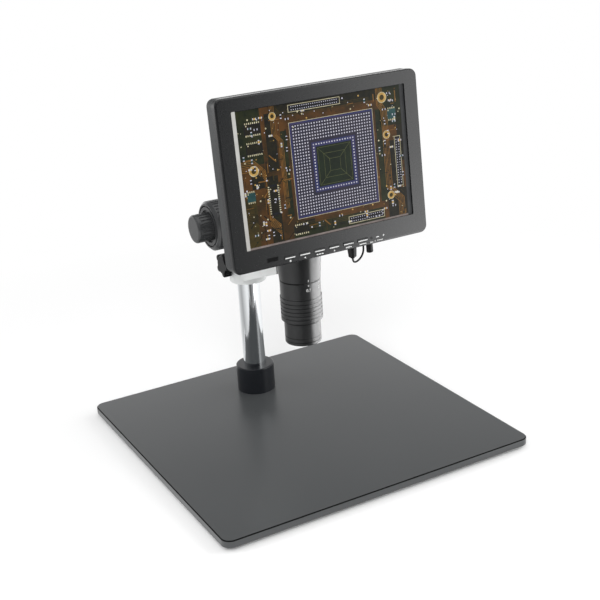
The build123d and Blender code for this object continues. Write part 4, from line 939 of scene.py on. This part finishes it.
@dataclass
class BoardPicture:
    """Picture of a circuit board on the lit screen, laid motif by motif, in millimetres.

    Across runs from the middle of the picture, and up from its lower edge. The chip is given
    as its place across, its place upwards and the length of its side.
    """

    place: ScreenPlace
    width: float = 174.5
    height: float = 121.5
    painted_sill_light: float = 19.3
    face: float = 2.46
    layer: float = 0.004
    seed: int = 11
    reach: float = 82
    ceiling: float = 121
    chip: Spot = (10, 61, 84)
    pads: int = 30
    pad_share: float = 0.44
    small: Pair = (3.4, 1.6)

    # Degrees that don't show, for a tile that isn't to be kept inside the picture.
    slight = 0.001

    def __post_init__(self) -> None:
        """Starts an empty picture."""
        self.bm = bmesh.new()
        self.random = Random(self.seed)

    def spot(self, u: float, v: float, layer: int, turn: float = 0.0) -> Matrix:
        """A place in the picture on one of its layers."""
        return self.place.at(u, self.face - self.layer * layer, self.painted_sill_light + v, turn)

    def tile(self, u: float, v: float, width: float, height: float, layer: int, paint: Paint,
             turn: float = 0.0) -> None:
        """A rectangle, kept inside the picture where it isn't turned.

        Args:
            u: Place across, in millimetres.
            v: Place upwards, in millimetres.
            width: Its size across.
            height: Its size upwards.
            layer: The layer that it lies on.
            paint: Its colour.
            turn: Its turn in degrees.
        """
        if not turn:
            edge = self.width / 2
            left, right = max(u - width / 2, -edge), min(u + width / 2, edge)
            low, high = max(v - height / 2, 0), min(v + height / 2, self.height)
            if right <= left or high <= low:
                return
            u, v, width, height = (left + right) / 2, (low + high) / 2, right - left, high - low
        lay_tile(self.bm, self.spot(u, v, layer, turn), width * MM, height * MM, paint.index)

    def disc(self, u: float, v: float, radius: float, layer: int, paint: Paint,
             segments: int = 24) -> None:
        """A disc or polygon, left out where it would cross the picture's edge."""
        if abs(u) + radius < self.width / 2 and radius < v < self.height - radius:
            lay_disc(self.bm, self.spot(u, v, layer), radius * MM, paint.index, segments)

    def outline(self, u: float, v: float, width: float, height: float, line: float, layer: int,
                paint: Paint) -> None:
        """Four thin lines round a rectangle.

        Args:
            u: Place across, in millimetres.
            v: Place upwards, in millimetres.
            width: Size across, between the lines' middles.
            height: Size upwards, the same way.
            line: Width of a line.
            layer: The layer that they lie on.
            paint: Their colour.
        """
        for side in (-1, 1):
            self.tile(u, v + side * height / 2, width + line, line, layer, paint)
            self.tile(u + side * width / 2, v, line, height + line, layer, paint)

    def track(self, points: list[Pair], line: float, layer: int, paint: Paint) -> None:
        """A printed track through points.

        Args:
            points: Its corners and ends.
            line: Its width.
            layer: The layer that it lies on.
            paint: Its colour.
        """
        for (u0, v0), (u1, v1) in zip(points, points[1:]):
            length = hypot(u1 - u0, v1 - v0)
            turn = atan2(v1 - v0, u1 - u0) * 180 / pi
            self.tile((u0 + u1) / 2, (v0 + v1) / 2, length + line * 0.5, line, layer, paint,
                      turn or self.slight)

    def bundle(self, points: list[Pair], count: int, pitch: float, line: float, paint: Paint,
               side: Pair) -> None:
        """Tracks side by side, each a pitch further along side.

        Args:
            points: Corners and ends of the first track.
            count: How many tracks there are.
            pitch: Step from one to the next.
            line: Width of a track.
            paint: Their colour.
            side: Way of the step, across and up.
        """
        for i in range(count):
            step_u, step_v = side[0] * pitch * i, side[1] * pitch * i
            self.track([(u + step_u, v + step_v) for u, v in points], line, Layer.TRACK, paint)

    def ground(self) -> None:
        """Board with its green and dark areas."""
        self.tile(0, self.height / 2, self.width, self.height, Layer.GROUND, Paint.GROUND)
        for u, v, width, height, paint in (
            (-74, 98, 28, 50, Paint.GREEN), (-54, 30, 11, 62, Paint.DARK),
            (-51, 90, 10, 50, Paint.DARK), (70, 36, 15, 72, Paint.DARK),
            (72, 104, 24, 36, Paint.GREEN), (82, 74, 10, 44, Paint.DARK),
            (4, 117, 110, 12, Paint.DARK), (10, 6, 96, 13, Paint.GREEN),
            (-26, 11, 20, 10, Paint.DARK), (-79, 22, 15, 44, Paint.OLIVE),
            (-39, 60, 6, 76, Paint.GREEN), (59, 60, 7, 84, Paint.GREEN),
            (-68, 60, 12, 16, Paint.DARK), (79, 14, 16, 26, Paint.DARK),
        ):
            self.tile(u, v, width, height, Layer.AREA, paint)

    def edges(self) -> None:
        """Pale and dark edges that frame the picture, the lower and right ones painted light."""
        edge, top, middle = self.width / 2, self.height, self.height / 2
        self.tile(-edge + 2.3, middle, 4.6, top, Layer.LEFT_EDGE, Paint.EDGE)
        # The lower and right strips are painted light on the bezel's recess, not part of the board.
        self.tile(0, 0.8, self.width, 1.6, Layer.LOW_EDGE, Paint.PAINTED_SILL_LIGHT)
        self.tile(edge - 2.1, middle, 4.2, top, Layer.RIGHT_EDGE, Paint.FRAME)
        self.tile(0, top - 0.4, self.width, 0.8, Layer.TOP_EDGE, Paint.CASE)

    def processor(self, u: float, v: float, size: float) -> None:
        """Large square chip with a wide frame of pads, a thin second frame and a green core.

        Args:
            u: Place across, in millimetres.
            v: Place upwards, in millimetres.
            size: Length of its side.
        """
        last = self.pads - 1
        pitch = size / (self.pads + 1)
        pad = pitch * self.pad_share
        core = size - 17.6 * pitch
        for side, layer, paint in (
            (size + 2.0, Layer.BASE, Paint.CREAM), (size + 1.2, Layer.BODY, Paint.VIOLET),
            (size * 0.97, Layer.FACE, Paint.BLUE), (size - 14.5 * pitch, Layer.WELL, Paint.VIOLET),
        ):
            self.tile(u, v, side, side, layer, paint)
        for row in range(self.pads):
            for column in range(self.pads):
                ring = min(row, column, last - row, last - column)
                if ring < 6 or ring == 7:
                    self.tile(u + (column - last / 2) * pitch, v + (row - last / 2) * pitch, pad,
                              pad, Layer.PADS, Paint.PAD)
        self.tile(u, v, core, core, Layer.CORE, Paint.CORE)
        for share in (0.92, 0.6, 0.3):
            self.outline(u, v, core * share, core * share, 0.3, Layer.PART, Paint.HAIR)
        for side_u in (-1, 1):
            for side_v in (-1, 1):
                ray = [(u + side_u * core * share, v + side_v * core * share)
                       for share in (0.15, 0.46)]
                self.track(ray, 0.35, Layer.PART, Paint.HAIR)
        self.disc(u - size * 0.46, v + size * 0.46, 0.9, Layer.END, Paint.CREAM, 3)

    def contacts(self, u: float, v: float, size: Pair, count: int, share: float, aside: float,
                 contact: Pair, layer: Layer, paint: Paint) -> None:
        """Two rows of contacts along a motif, each a distance aside from its middle.

        Args:
            u: Place across, in millimetres.
            v: Place upwards, in millimetres.
            size: The motif's size, across and up.
            count: How many contacts a row has.
            share: Share of the motif's length that a row takes.
            aside: Distance of a row from the middle.
            contact: A contact's size, along the motif and aside.
            layer: The layer that they lie on.
            paint: Their colour.
        """
        upright = size[1] > size[0]
        run = max(size) * share
        for i in range(count):
            offset = (i + 0.5) / count * run - run / 2
            for side in (-1, 1):
                du, dv = along(offset, side * aside, upright)
                self.tile(u + du, v + dv, *along(*contact, upright), layer, paint)

    def package(self, u: float, v: float, width: float, height: float, pins: int,
                paint: Paint = Paint.CASE) -> None:
        """Chip with pale pins along its two long sides.

        Args:
            u: Place across, in millimetres.
            v: Place upwards, in millimetres.
            width: Its size across.
            height: Its size upwards.
            pins: How many pins a side has.
            paint: Its case's colour.
        """
        share = 0.94
        short, pin = min(width, height), max(width, height) * share / pins * 0.5
        self.contacts(u, v, (width, height), pins, share, short / 2 + 0.7, (pin, 1.5), Layer.PIN,
                      Paint.CREAM)
        self.tile(u, v, width, height, Layer.BASE, paint)
        face = Paint.DARK if paint is Paint.CASE else paint
        self.tile(u, v, width * 0.9, height * 0.86, Layer.BODY, face)
        self.disc(u - width * 0.36, v + height * 0.36, short * 0.07, Layer.FACE, Paint.CREAM, 10)

    def header(self, u: float, v: float, width: float, height: float, count: int) -> None:
        """Dark connector with a pale outline and two rows of contacts.

        Args:
            u: Place across, in millimetres.
            v: Place upwards, in millimetres.
            width: Its size across.
            height: Its size upwards.
            count: How many contacts a row has.
        """
        self.tile(u, v, width, height, Layer.PIN, Paint.CASE)
        self.outline(u, v, width, height, 0.5, Layer.BASE, Paint.CREAM)
        self.contacts(u, v, (width, height), count, 0.92, min(width, height) * 0.22, (0.8, 0.8),
                      Layer.BODY, Paint.PAD)

    def can(self, u: float, v: float, radius: float) -> None:
        """Upright capacitor, seen from above.

        Args:
            u: Place across, in millimetres.
            v: Place upwards, in millimetres.
            radius: Its radius.
        """
        self.disc(u, v, radius * 1.12, Layer.BASE, Paint.CREAM)
        self.disc(u, v, radius, Layer.BODY, Paint.GOLD)
        self.disc(u, v, radius * 0.55, Layer.FACE, Paint.OLIVE, 20)

    def small_part(self, u: float, v: float, upright: bool) -> None:
        """Chip resistor or capacitor with its two bright ends.

        Args:
            u: Place across, in millimetres.
            v: Place upwards, in millimetres.
            upright: Whether it stands upright.
        """
        length, across = self.small
        body = self.random.choice((Paint.CASE, Paint.CREAM, Paint.DARK, Paint.TEAL, Paint.GOLD))
        self.tile(u, v, *along(length, across, upright), Layer.PART, body)
        for side in (-1, 1):
            du, dv = along(side * length * 0.42, 0, upright)
            end = along(length * 0.24, across, upright)
            self.tile(u + du, v + dv, *end, Layer.END, Paint.PAD)

    def clear(self, u: float, v: float, margin: float) -> bool:
        """Whether a spot is off the processor."""
        half = self.chip[2] / 2 + margin
        return abs(u - self.chip[0]) > half or abs(v - self.chip[1]) > half

    def draw_spot(self, margin: float) -> Pair:
        """A random spot on the board, at least a margin from its upper and lower edges."""
        return (self.random.uniform(-self.reach, self.reach),
                self.random.uniform(margin, self.ceiling - margin))

    def scatter(self) -> None:
        """Vias, short runs of track and small parts over the free parts of the board."""
        draw = self.random.choice
        for _ in range(520):
            u, v = self.draw_spot(3)
            radius = draw((0.3, 0.4, 0.5, 0.8))
            paint = draw((Paint.CREAM, Paint.GOLD, Paint.PAD, Paint.DARK, Paint.GREEN))
            if self.clear(u, v, 2):
                self.disc(u, v, radius, Layer.VIA, paint, 8)
        for _ in range(260):
            u, v = self.draw_spot(3)
            length, turn = self.random.uniform(3, 13), draw((0, 0, 45, 90, 90, 135))
            paint = draw((Paint.TRACK, Paint.OLIVE, Paint.DARK, Paint.GREEN, Paint.DARK))
            if self.clear(u, v, 7):
                self.tile(u, v, length, draw((0.4, 0.6, 1.0)), Layer.RUN, paint,
                          turn + self.slight)
        for _ in range(120):
            u, v = self.draw_spot(5)
            if self.clear(u, v, 4):
                self.small_part(u, v, self.random.random() < 0.5)

    def tracks(self) -> None:
        """Bundles of parallel tracks."""
        for points, count, pitch, line, paint, side in (
            ([(-86, 68), (-70, 68), (-60, 58), (-60, 18), (-50, 8)],
             7, 1.5, 0.55, Paint.TRACK, (0, 1)),
            ([(58, 121), (58, 106), (62, 100), (62, 30), (74, 18), (74, 0)],
             5, 1.5, 0.6, Paint.TRACK, (1, 0)),
            ([(-36, 18), (-24, 14), (20, 14), (30, 6)], 5, 1.5, 0.5, Paint.OLIVE, (0, -1)),
            ([(-44, 121), (-44, 114), (-40, 110), (50, 110)], 4, 1.4, 0.5, Paint.OLIVE, (0, 1)),
            ([(-86, 24), (-74, 24), (-66, 16), (-66, 0)], 6, 1.4, 0.5, Paint.DARK, (0, 1)),
            ([(-46, 121), (-46, 96), (-40, 90), (-40, 30)], 4, 1.3, 0.5, Paint.TRACK, (-1, 0)),
        ):
            self.bundle(points, count, pitch, line, paint, side)

    def build(self) -> None:
        """Lays every motif and makes the piece."""
        self.ground()
        self.tracks()
        self.scatter()
        self.processor(*self.chip)
        for package in ((-68, 104, 16, 9, 8), (-68, 87, 16, 9, 8), (-54, 40, 8, 27, 13),
                        (73, 96, 9, 9, 4, Paint.TEAL), (-76, 46, 8, 8, 4, Paint.TEAL)):
            self.package(*package)
        for header in ((77, 52, 6, 46, 18), (-6, 116, 52, 6, 22), (38, 7, 38, 6.4, 15)):
            self.header(*header)
        self.package(-30, 9, 15, 7, 7)
        for can in ((-71, 68, 4.2), (66, 78, 3.4), (66, 22, 3.4), (64, 112, 4.4), (-48, 112, 3.2)):
            self.can(*can)
        self.edges()
        make_piece(self.bm, "screen_picture", "monitor", *(paint.material() for paint in Paint))


@dataclass
class Screen(Assembly):
    """Bezel, rear cover, panel, keys with their bars and marks, boards."""

    place: ScreenPlace
    first_key: float = -46.2
    key_pitch: float = 15.2
    key_rise: float = 6.1
    key_proud: float = 0.4
    bar: Pair = (10.0, 1.0)
    bar_drop: float = 0.5
    mark_rise: float = 2.5
    lift: float = 0.02

    coats = {
        Finishes.shell: ("front_bezel",),
        Finishes.cover: ("rear_cover",),
        Finishes.panel: ("lcd_panel",),
        Finishes.board: ("main_board", "key_board"),
        Finishes.black_steel: ("monitor_screws",),
        Finishes.eye: ("ir_window", "status_lamp"),
        Finishes.chip: ("sockets",),
        Finishes.key: BUTTONS,
    }

    def stations(self) -> list[float]:
        """The middle of each key, across the screen."""
        return [self.first_key + self.key_pitch * n for n in range(len(BUTTONS))]

    def bars(self) -> None:
        """White bar on the lower part of each key's face."""
        ink = Finishes.ink.material()
        for n, (across, button) in enumerate(zip(self.stations(), BUTTONS), 1):
            bm = bmesh.new()
            spot = self.place.at(across, -self.key_proud - self.lift, self.key_rise - self.bar_drop)
            lay_tile(bm, spot, self.bar[0] * MM, self.bar[1] * MM)
            make_piece(bm, f"key_bar_{n}", button, ink)

    def marks(self) -> None:
        """Small plain marks under the keys and beside the lamp, in millimetres."""
        bm = bmesh.new()
        keys, low = self.stations(), self.mark_rise
        for across, rise, radius, sides, turn in (
            (keys[0], low, 0.95, 20, 0), (keys[1], low, 1.15, 3, 90), (keys[3], low, 1.15, 3, -90),
            (43.0, low, 0.5, 12, 0), (52.6, 6.3, 0.8, 18, 0),
        ):
            spot = self.place.at(across, -self.lift, rise)
            lay_disc(bm, spot, radius * MM, 0, sides, radians(turn))
        for across, rise, width, height in (
            *((keys[2] + step, low, 1.9, 1.1) for step in (-2.5, 0, 2.5)),
            (keys[4], low, 6.4, 0.9), (keys[4], low, 1.0, 2.0), (keys[5], low, 7.4, 0.9),
            (39.2, low - 0.4, 3.4, 0.8), (46.0, 5.9, 3.4, 0.9), (48.4, low + 0.1, 6.4, 0.7),
        ):
            spot = self.place.at(across, -self.lift, rise)
            lay_tile(bm, spot, width * MM, height * MM)
        make_piece(bm, "bezel_marks", "monitor", Finishes.ink.material())

    def build(self) -> None:
        """Adds the printed marks and the lit picture."""
        self.bars()
        self.marks()
        BoardPicture(self.place).build()


@dataclass
class Leads(Assembly):
    """Short video lead with its plug, the spare port's cap and the grommet."""

    place: ScreenPlace
    diameter: float = 0.0018
    length: float = 0.0316
    route: tuple[Spot, ...] = (
        (38.9, 14.9, 2.6), (38.9, 14.9, -3.4), (38.3, 14.8, -9.4), (35.5, 14.3, -13.5),
        (31.4, 13.7, -16.2), (27.6, 13.0, -16.9), (24.8, 12.4, -15.5), (24.8, 12.4, -12.4),
    )

    coats = {Finishes.rubber: ("video_plug", "port_cap", "lead_grommet")}

    def spot(self, place: Spot) -> Vector:
        """A place on the route in the object frame, from millimetres on the screen."""
        return self.place.matrix @ (Vector(place) * MM)

    def build(self) -> None:
        curve = bpy.data.curves.new("lead", "CURVE")
        curve.dimensions = "3D"
        curve.bevel_depth = self.diameter / 2
        curve.bevel_resolution = 4
        curve.use_fill_caps = True
        curve.resolution_u = 12
        spline = curve.splines.new("NURBS")
        spline.points.add(len(self.route) - 1)
        for point, place in zip(spline.points, self.route):
            point.co = (*self.spot(place), 1.0)
        spline.order_u = 3
        spline.use_endpoint_u = True
        curve.materials.append(Finishes.rubber.material())
        lead = add_object("lead", curve)
        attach(lead, "monitor")
        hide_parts("video_lead")
        self.spot(self.route[0])
        log.info("lead: %.1f mm", self.length / MM)


# ---- studio ----


@dataclass
class Softbox:
    """An area lamp that looks at a point.

    Reflections don't see it, unless it is a lamp for the gloss of some pieces only.
    """

    name: str
    spot: Spot
    size: Pair
    watts: float
    only: tuple[str, ...] = ()
    target: Spot = (0.0, -0.02, 0.18)

    def build(self) -> None:
        """Adds the lamp to the scene."""
        lamp = bpy.data.lights.new(self.name, "AREA")
        lamp.shape = "RECTANGLE"
        lamp.size, lamp.size_y = self.size
        lamp.energy = self.watts
        holder = add_object(self.name, lamp)
        holder.location = self.spot
        aim = Vector(self.target) - Vector(self.spot)
        holder.rotation_euler = aim.to_track_quat("-Z", "Y").to_euler()
        holder.visible_glossy = bool(self.only)
        if self.only:
            holder.visible_diffuse = False
            lit = bpy.data.collections.new(self.name + "_pieces")
            for name in self.only:
                lit.objects.link(frame["nodes"][name])
            holder.light_linking.receiver_collection = lit


@dataclass
class Room:
    """What reflections see: a wall round the table and the far floor, bright or dark by direction.

    Stops are (degrees from straight in front, rising to the right; brightness). Over the
    distances of back and the heights of shaded, the wall behind the object darkens to
    shade_level, as a share of its brightness.
    """

    radius: float = 1.8
    height: float = 2.4
    segments: int = 96
    peak: float = 6.0
    wall: tuple[Pair, ...] = (
        (-180, 1.9), (-150, 1.4), (-125, 1.0), (-100, 0.3), (-60, 0.06), (22, 0.05), (27, 0.4),
        (33, 2.8), (45, 2.8), (55, 1.1), (110, 0.9), (130, 1.5), (150, 1.6), (165, 1.8), (180, 1.9),
    )
    floor: tuple[Pair, ...] = (
        (-180, 0.9), (-150, 0.6), (-125, 0.42), (-111, 0.58), (-75, 0.95), (-62, 1.0), (-45, 0.9),
        (-35, 0.6), (-25, 0.12), (-5, 0.15), (5, 0.34), (25, 0.4), (28, 1.2), (33, 4.6), (46, 4.6),
        (57, 1.3), (120, 1.0), (180, 0.9),
    )
    back: Pair = (0.2, 0.9)
    shaded: Pair = (0.45, 1.05)
    shade_level: float = 0.06

    def level(self, graph: Graph, stops: tuple[Pair, ...]) -> Socket:
        """Brightness by direction round the object, on object coordinates.

        Args:
            graph: The graph of the material that uses it.
            stops: Brightness by direction.

        Returns:
            The brightness.
        """
        parts = graph.split(graph.place())
        angle = graph.math("ARCTAN2", parts["X"], graph.math("MULTIPLY", parts["Y"], -1.0))
        ramp = graph.add("ShaderNodeValToRGB", Fac=graph.remap(angle, -pi, pi))
        points = ramp.color_ramp.elements
        while len(points) < len(stops):
            points.new(0.5)
        for point, (degrees, bright) in zip(points, stops):
            point.position = (degrees + 180) / 360
            point.color = scaled(WHITE, bright / self.peak)
        return graph.math("MULTIPLY", ramp.outputs["Color"], self.peak)

    def build(self) -> None:
        """Puts up the wall, which nothing but a reflection sees. Its back darkens upwards."""
        bm = bmesh.new()
        middle = Matrix.Translation((0, 0, self.height / 2))
        bmesh.ops.create_cone(bm, segments=self.segments, radius1=self.radius, radius2=self.radius,
                              depth=self.height, matrix=middle)
        wall, graph = add_sheet(bm, "room_wall", "room_paper")
        wall.visible_camera = wall.visible_diffuse = False
        wall.visible_shadow = wall.visible_transmission = False
        parts = graph.split(graph.place())
        behind = graph.remap(parts["Y"], *self.back)
        fall = graph.remap(parts["Z"], *self.shaded, 0.0, 1.0 - self.shade_level)
        keep = graph.math("SUBTRACT", 1.0, graph.math("MULTIPLY", behind, fall))
        bright = graph.math("MULTIPLY", self.level(graph, self.wall), keep)
        glow = graph.add("ShaderNodeEmission", Color=WHITE, Strength=bright)
        graph.add("ShaderNodeOutputMaterial", Surface=glow.outputs[0])


@dataclass
class Studio:
    """Camera, pale floor, soft lamps and what reflections see.

    Edge is the plate's reach to each side. Over the distances of fade, the floor turns plain
    white to the eye, and over those of rim, past the plate, its mirrored light turns from plain
    to the room's.
    """

    camera_spot: Spot = (-0.49522, -0.94812, 0.55385)
    azimuth: float = -27.944
    elevation: float = 20.984
    roll: float = -3.573
    lens: float = 69.23
    floor_size: float = 12.0
    ambient: float = 0.52
    paper: float = 0.86
    paper_seen: float = 0.9
    edge: Pair = (0.166, 0.164)
    fade: Pair = (0.25, 0.7)
    rim: Pair = (0.015, 0.04)
    room: Room = field(default_factory=Room)
    boxes: tuple[Softbox, ...] = (
        Softbox("right_box", (1.3, -0.35, 0.65), (1.8, 1.3), 15.0),
        Softbox("top_box", (-0.1, 0.1, 1.9), (1.8, 1.8), 4.5),
        Softbox("front_box", (-0.9, -1.6, 1.3), (1.2, 1.2), 28.0),
        Softbox("left_box", (-1.5, 0.7, 0.8), (1.5, 1.5), 11.0),
        Softbox("lens_box", (1.3, -0.25, 0.5), (1.8, 1.3), 98.0,
                only=("upper_barrel", "zoom_ring", "zoom_grip", "lower_barrel", "front_ring")),
    )

    def set_camera(self) -> None:
        """Puts the camera to the front left of the object and a little above it."""
        camera = bpy.data.cameras.new("camera")
        camera.lens = self.lens
        camera.clip_start = 0.01
        holder = add_object("camera", camera)
        turn = (Matrix.Rotation(radians(self.azimuth), 4, "Z")
                @ Matrix.Rotation(radians(90 - self.elevation), 4, "X")
                @ Matrix.Rotation(radians(self.roll), 4, "Z"))
        holder.matrix_world = Matrix.Translation(self.camera_spot) @ turn
        bpy.context.scene.camera = holder

    def lay_floor(self) -> None:
        """White floor that keeps the object's shadow near by and is plain white far off."""
        bm = bmesh.new()
        bmesh.ops.create_grid(bm, x_segments=1, y_segments=1, size=self.floor_size / 2)
        floor, graph = add_sheet(bm, "floor", "floor_paper")
        rays = graph.add("ShaderNodeLightPath").outputs
        tone = graph.remap(rays["Is Camera Ray"], 0.0, 1.0, self.paper, self.paper_seen)
        paper = graph.add("ShaderNodeBsdfDiffuse", Color=tone)
        place = graph.place()
        away = graph.add("ShaderNodeVectorMath", {"operation": "LENGTH"}, Vector=place)
        far = graph.remap(away.outputs["Value"], *self.fade)
        plain = graph.add("ShaderNodeEmission", Color=WHITE, Strength=1.0)
        parts = graph.split(place)
        beyond = graph.math("MAXIMUM", *(
            graph.math("SUBTRACT", graph.math("ABSOLUTE", parts[axis]), size)
            for axis, size in zip("XY", self.edge)))
        change = graph.math("SUBTRACT", self.room.level(graph, self.room.floor), 1.0)
        beside = graph.math("MULTIPLY", graph.remap(beyond, *self.rim), change)
        mirrored = graph.add("ShaderNodeEmission", Color=WHITE,
                             Strength=graph.math("ADD", 1.0, beside))
        seen = paper
        for factor, other in ((graph.math("MULTIPLY", rays["Is Camera Ray"], far), plain),
                              (rays["Is Glossy Ray"], mirrored)):
            mix = graph.add("ShaderNodeMixShader")
            for socket, value in zip(mix.inputs, (factor, seen.outputs[0], other.outputs[0])):
                graph.feed(socket, value)
            seen = mix
        graph.add("ShaderNodeOutputMaterial", Surface=seen.outputs[0])

    def light_world(self) -> None:
        """White surroundings for what the eye sees, and a plain level of light on the object."""
        world = bpy.data.worlds.new("studio")
        bpy.context.scene.world = world
        graph = blank_graph(world)
        rays = graph.add("ShaderNodeLightPath").outputs
        mirrored = graph.math("MAXIMUM", rays["Is Glossy Ray"], rays["Is Transmission Ray"])
        seen = graph.math("MAXIMUM", rays["Is Camera Ray"], mirrored)
        glow = graph.add("ShaderNodeBackground", Color=WHITE,
                         Strength=graph.remap(seen, 0.0, 1.0, self.ambient, 1.0))
        graph.add("ShaderNodeOutputWorld", Surface=glow.outputs[0])

    def build(self) -> None:
        """Sets up the camera, the floor, the room, the world and the lamps."""
        self.set_camera()
        self.lay_floor()
        self.room.build()
        self.light_world()
        for box in self.boxes:
            box.build()
        bpy.context.scene.view_settings.view_transform = "Standard"


def main() -> None:
    """Builds the studio, then dresses each sub-assembly and adds its pieces."""
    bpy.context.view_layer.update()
    Studio().build()
    place = ScreenPlace()
    for assembly in (Leads(place), Stand(), Arm(), FocusDrive(), CameraHead(), ZoomLens(),
                     Screen(place)):
        assembly.dress()
        assembly.build()
        log.info("%s done", type(assembly).__name__)


if __name__ == "__main__":
    main()
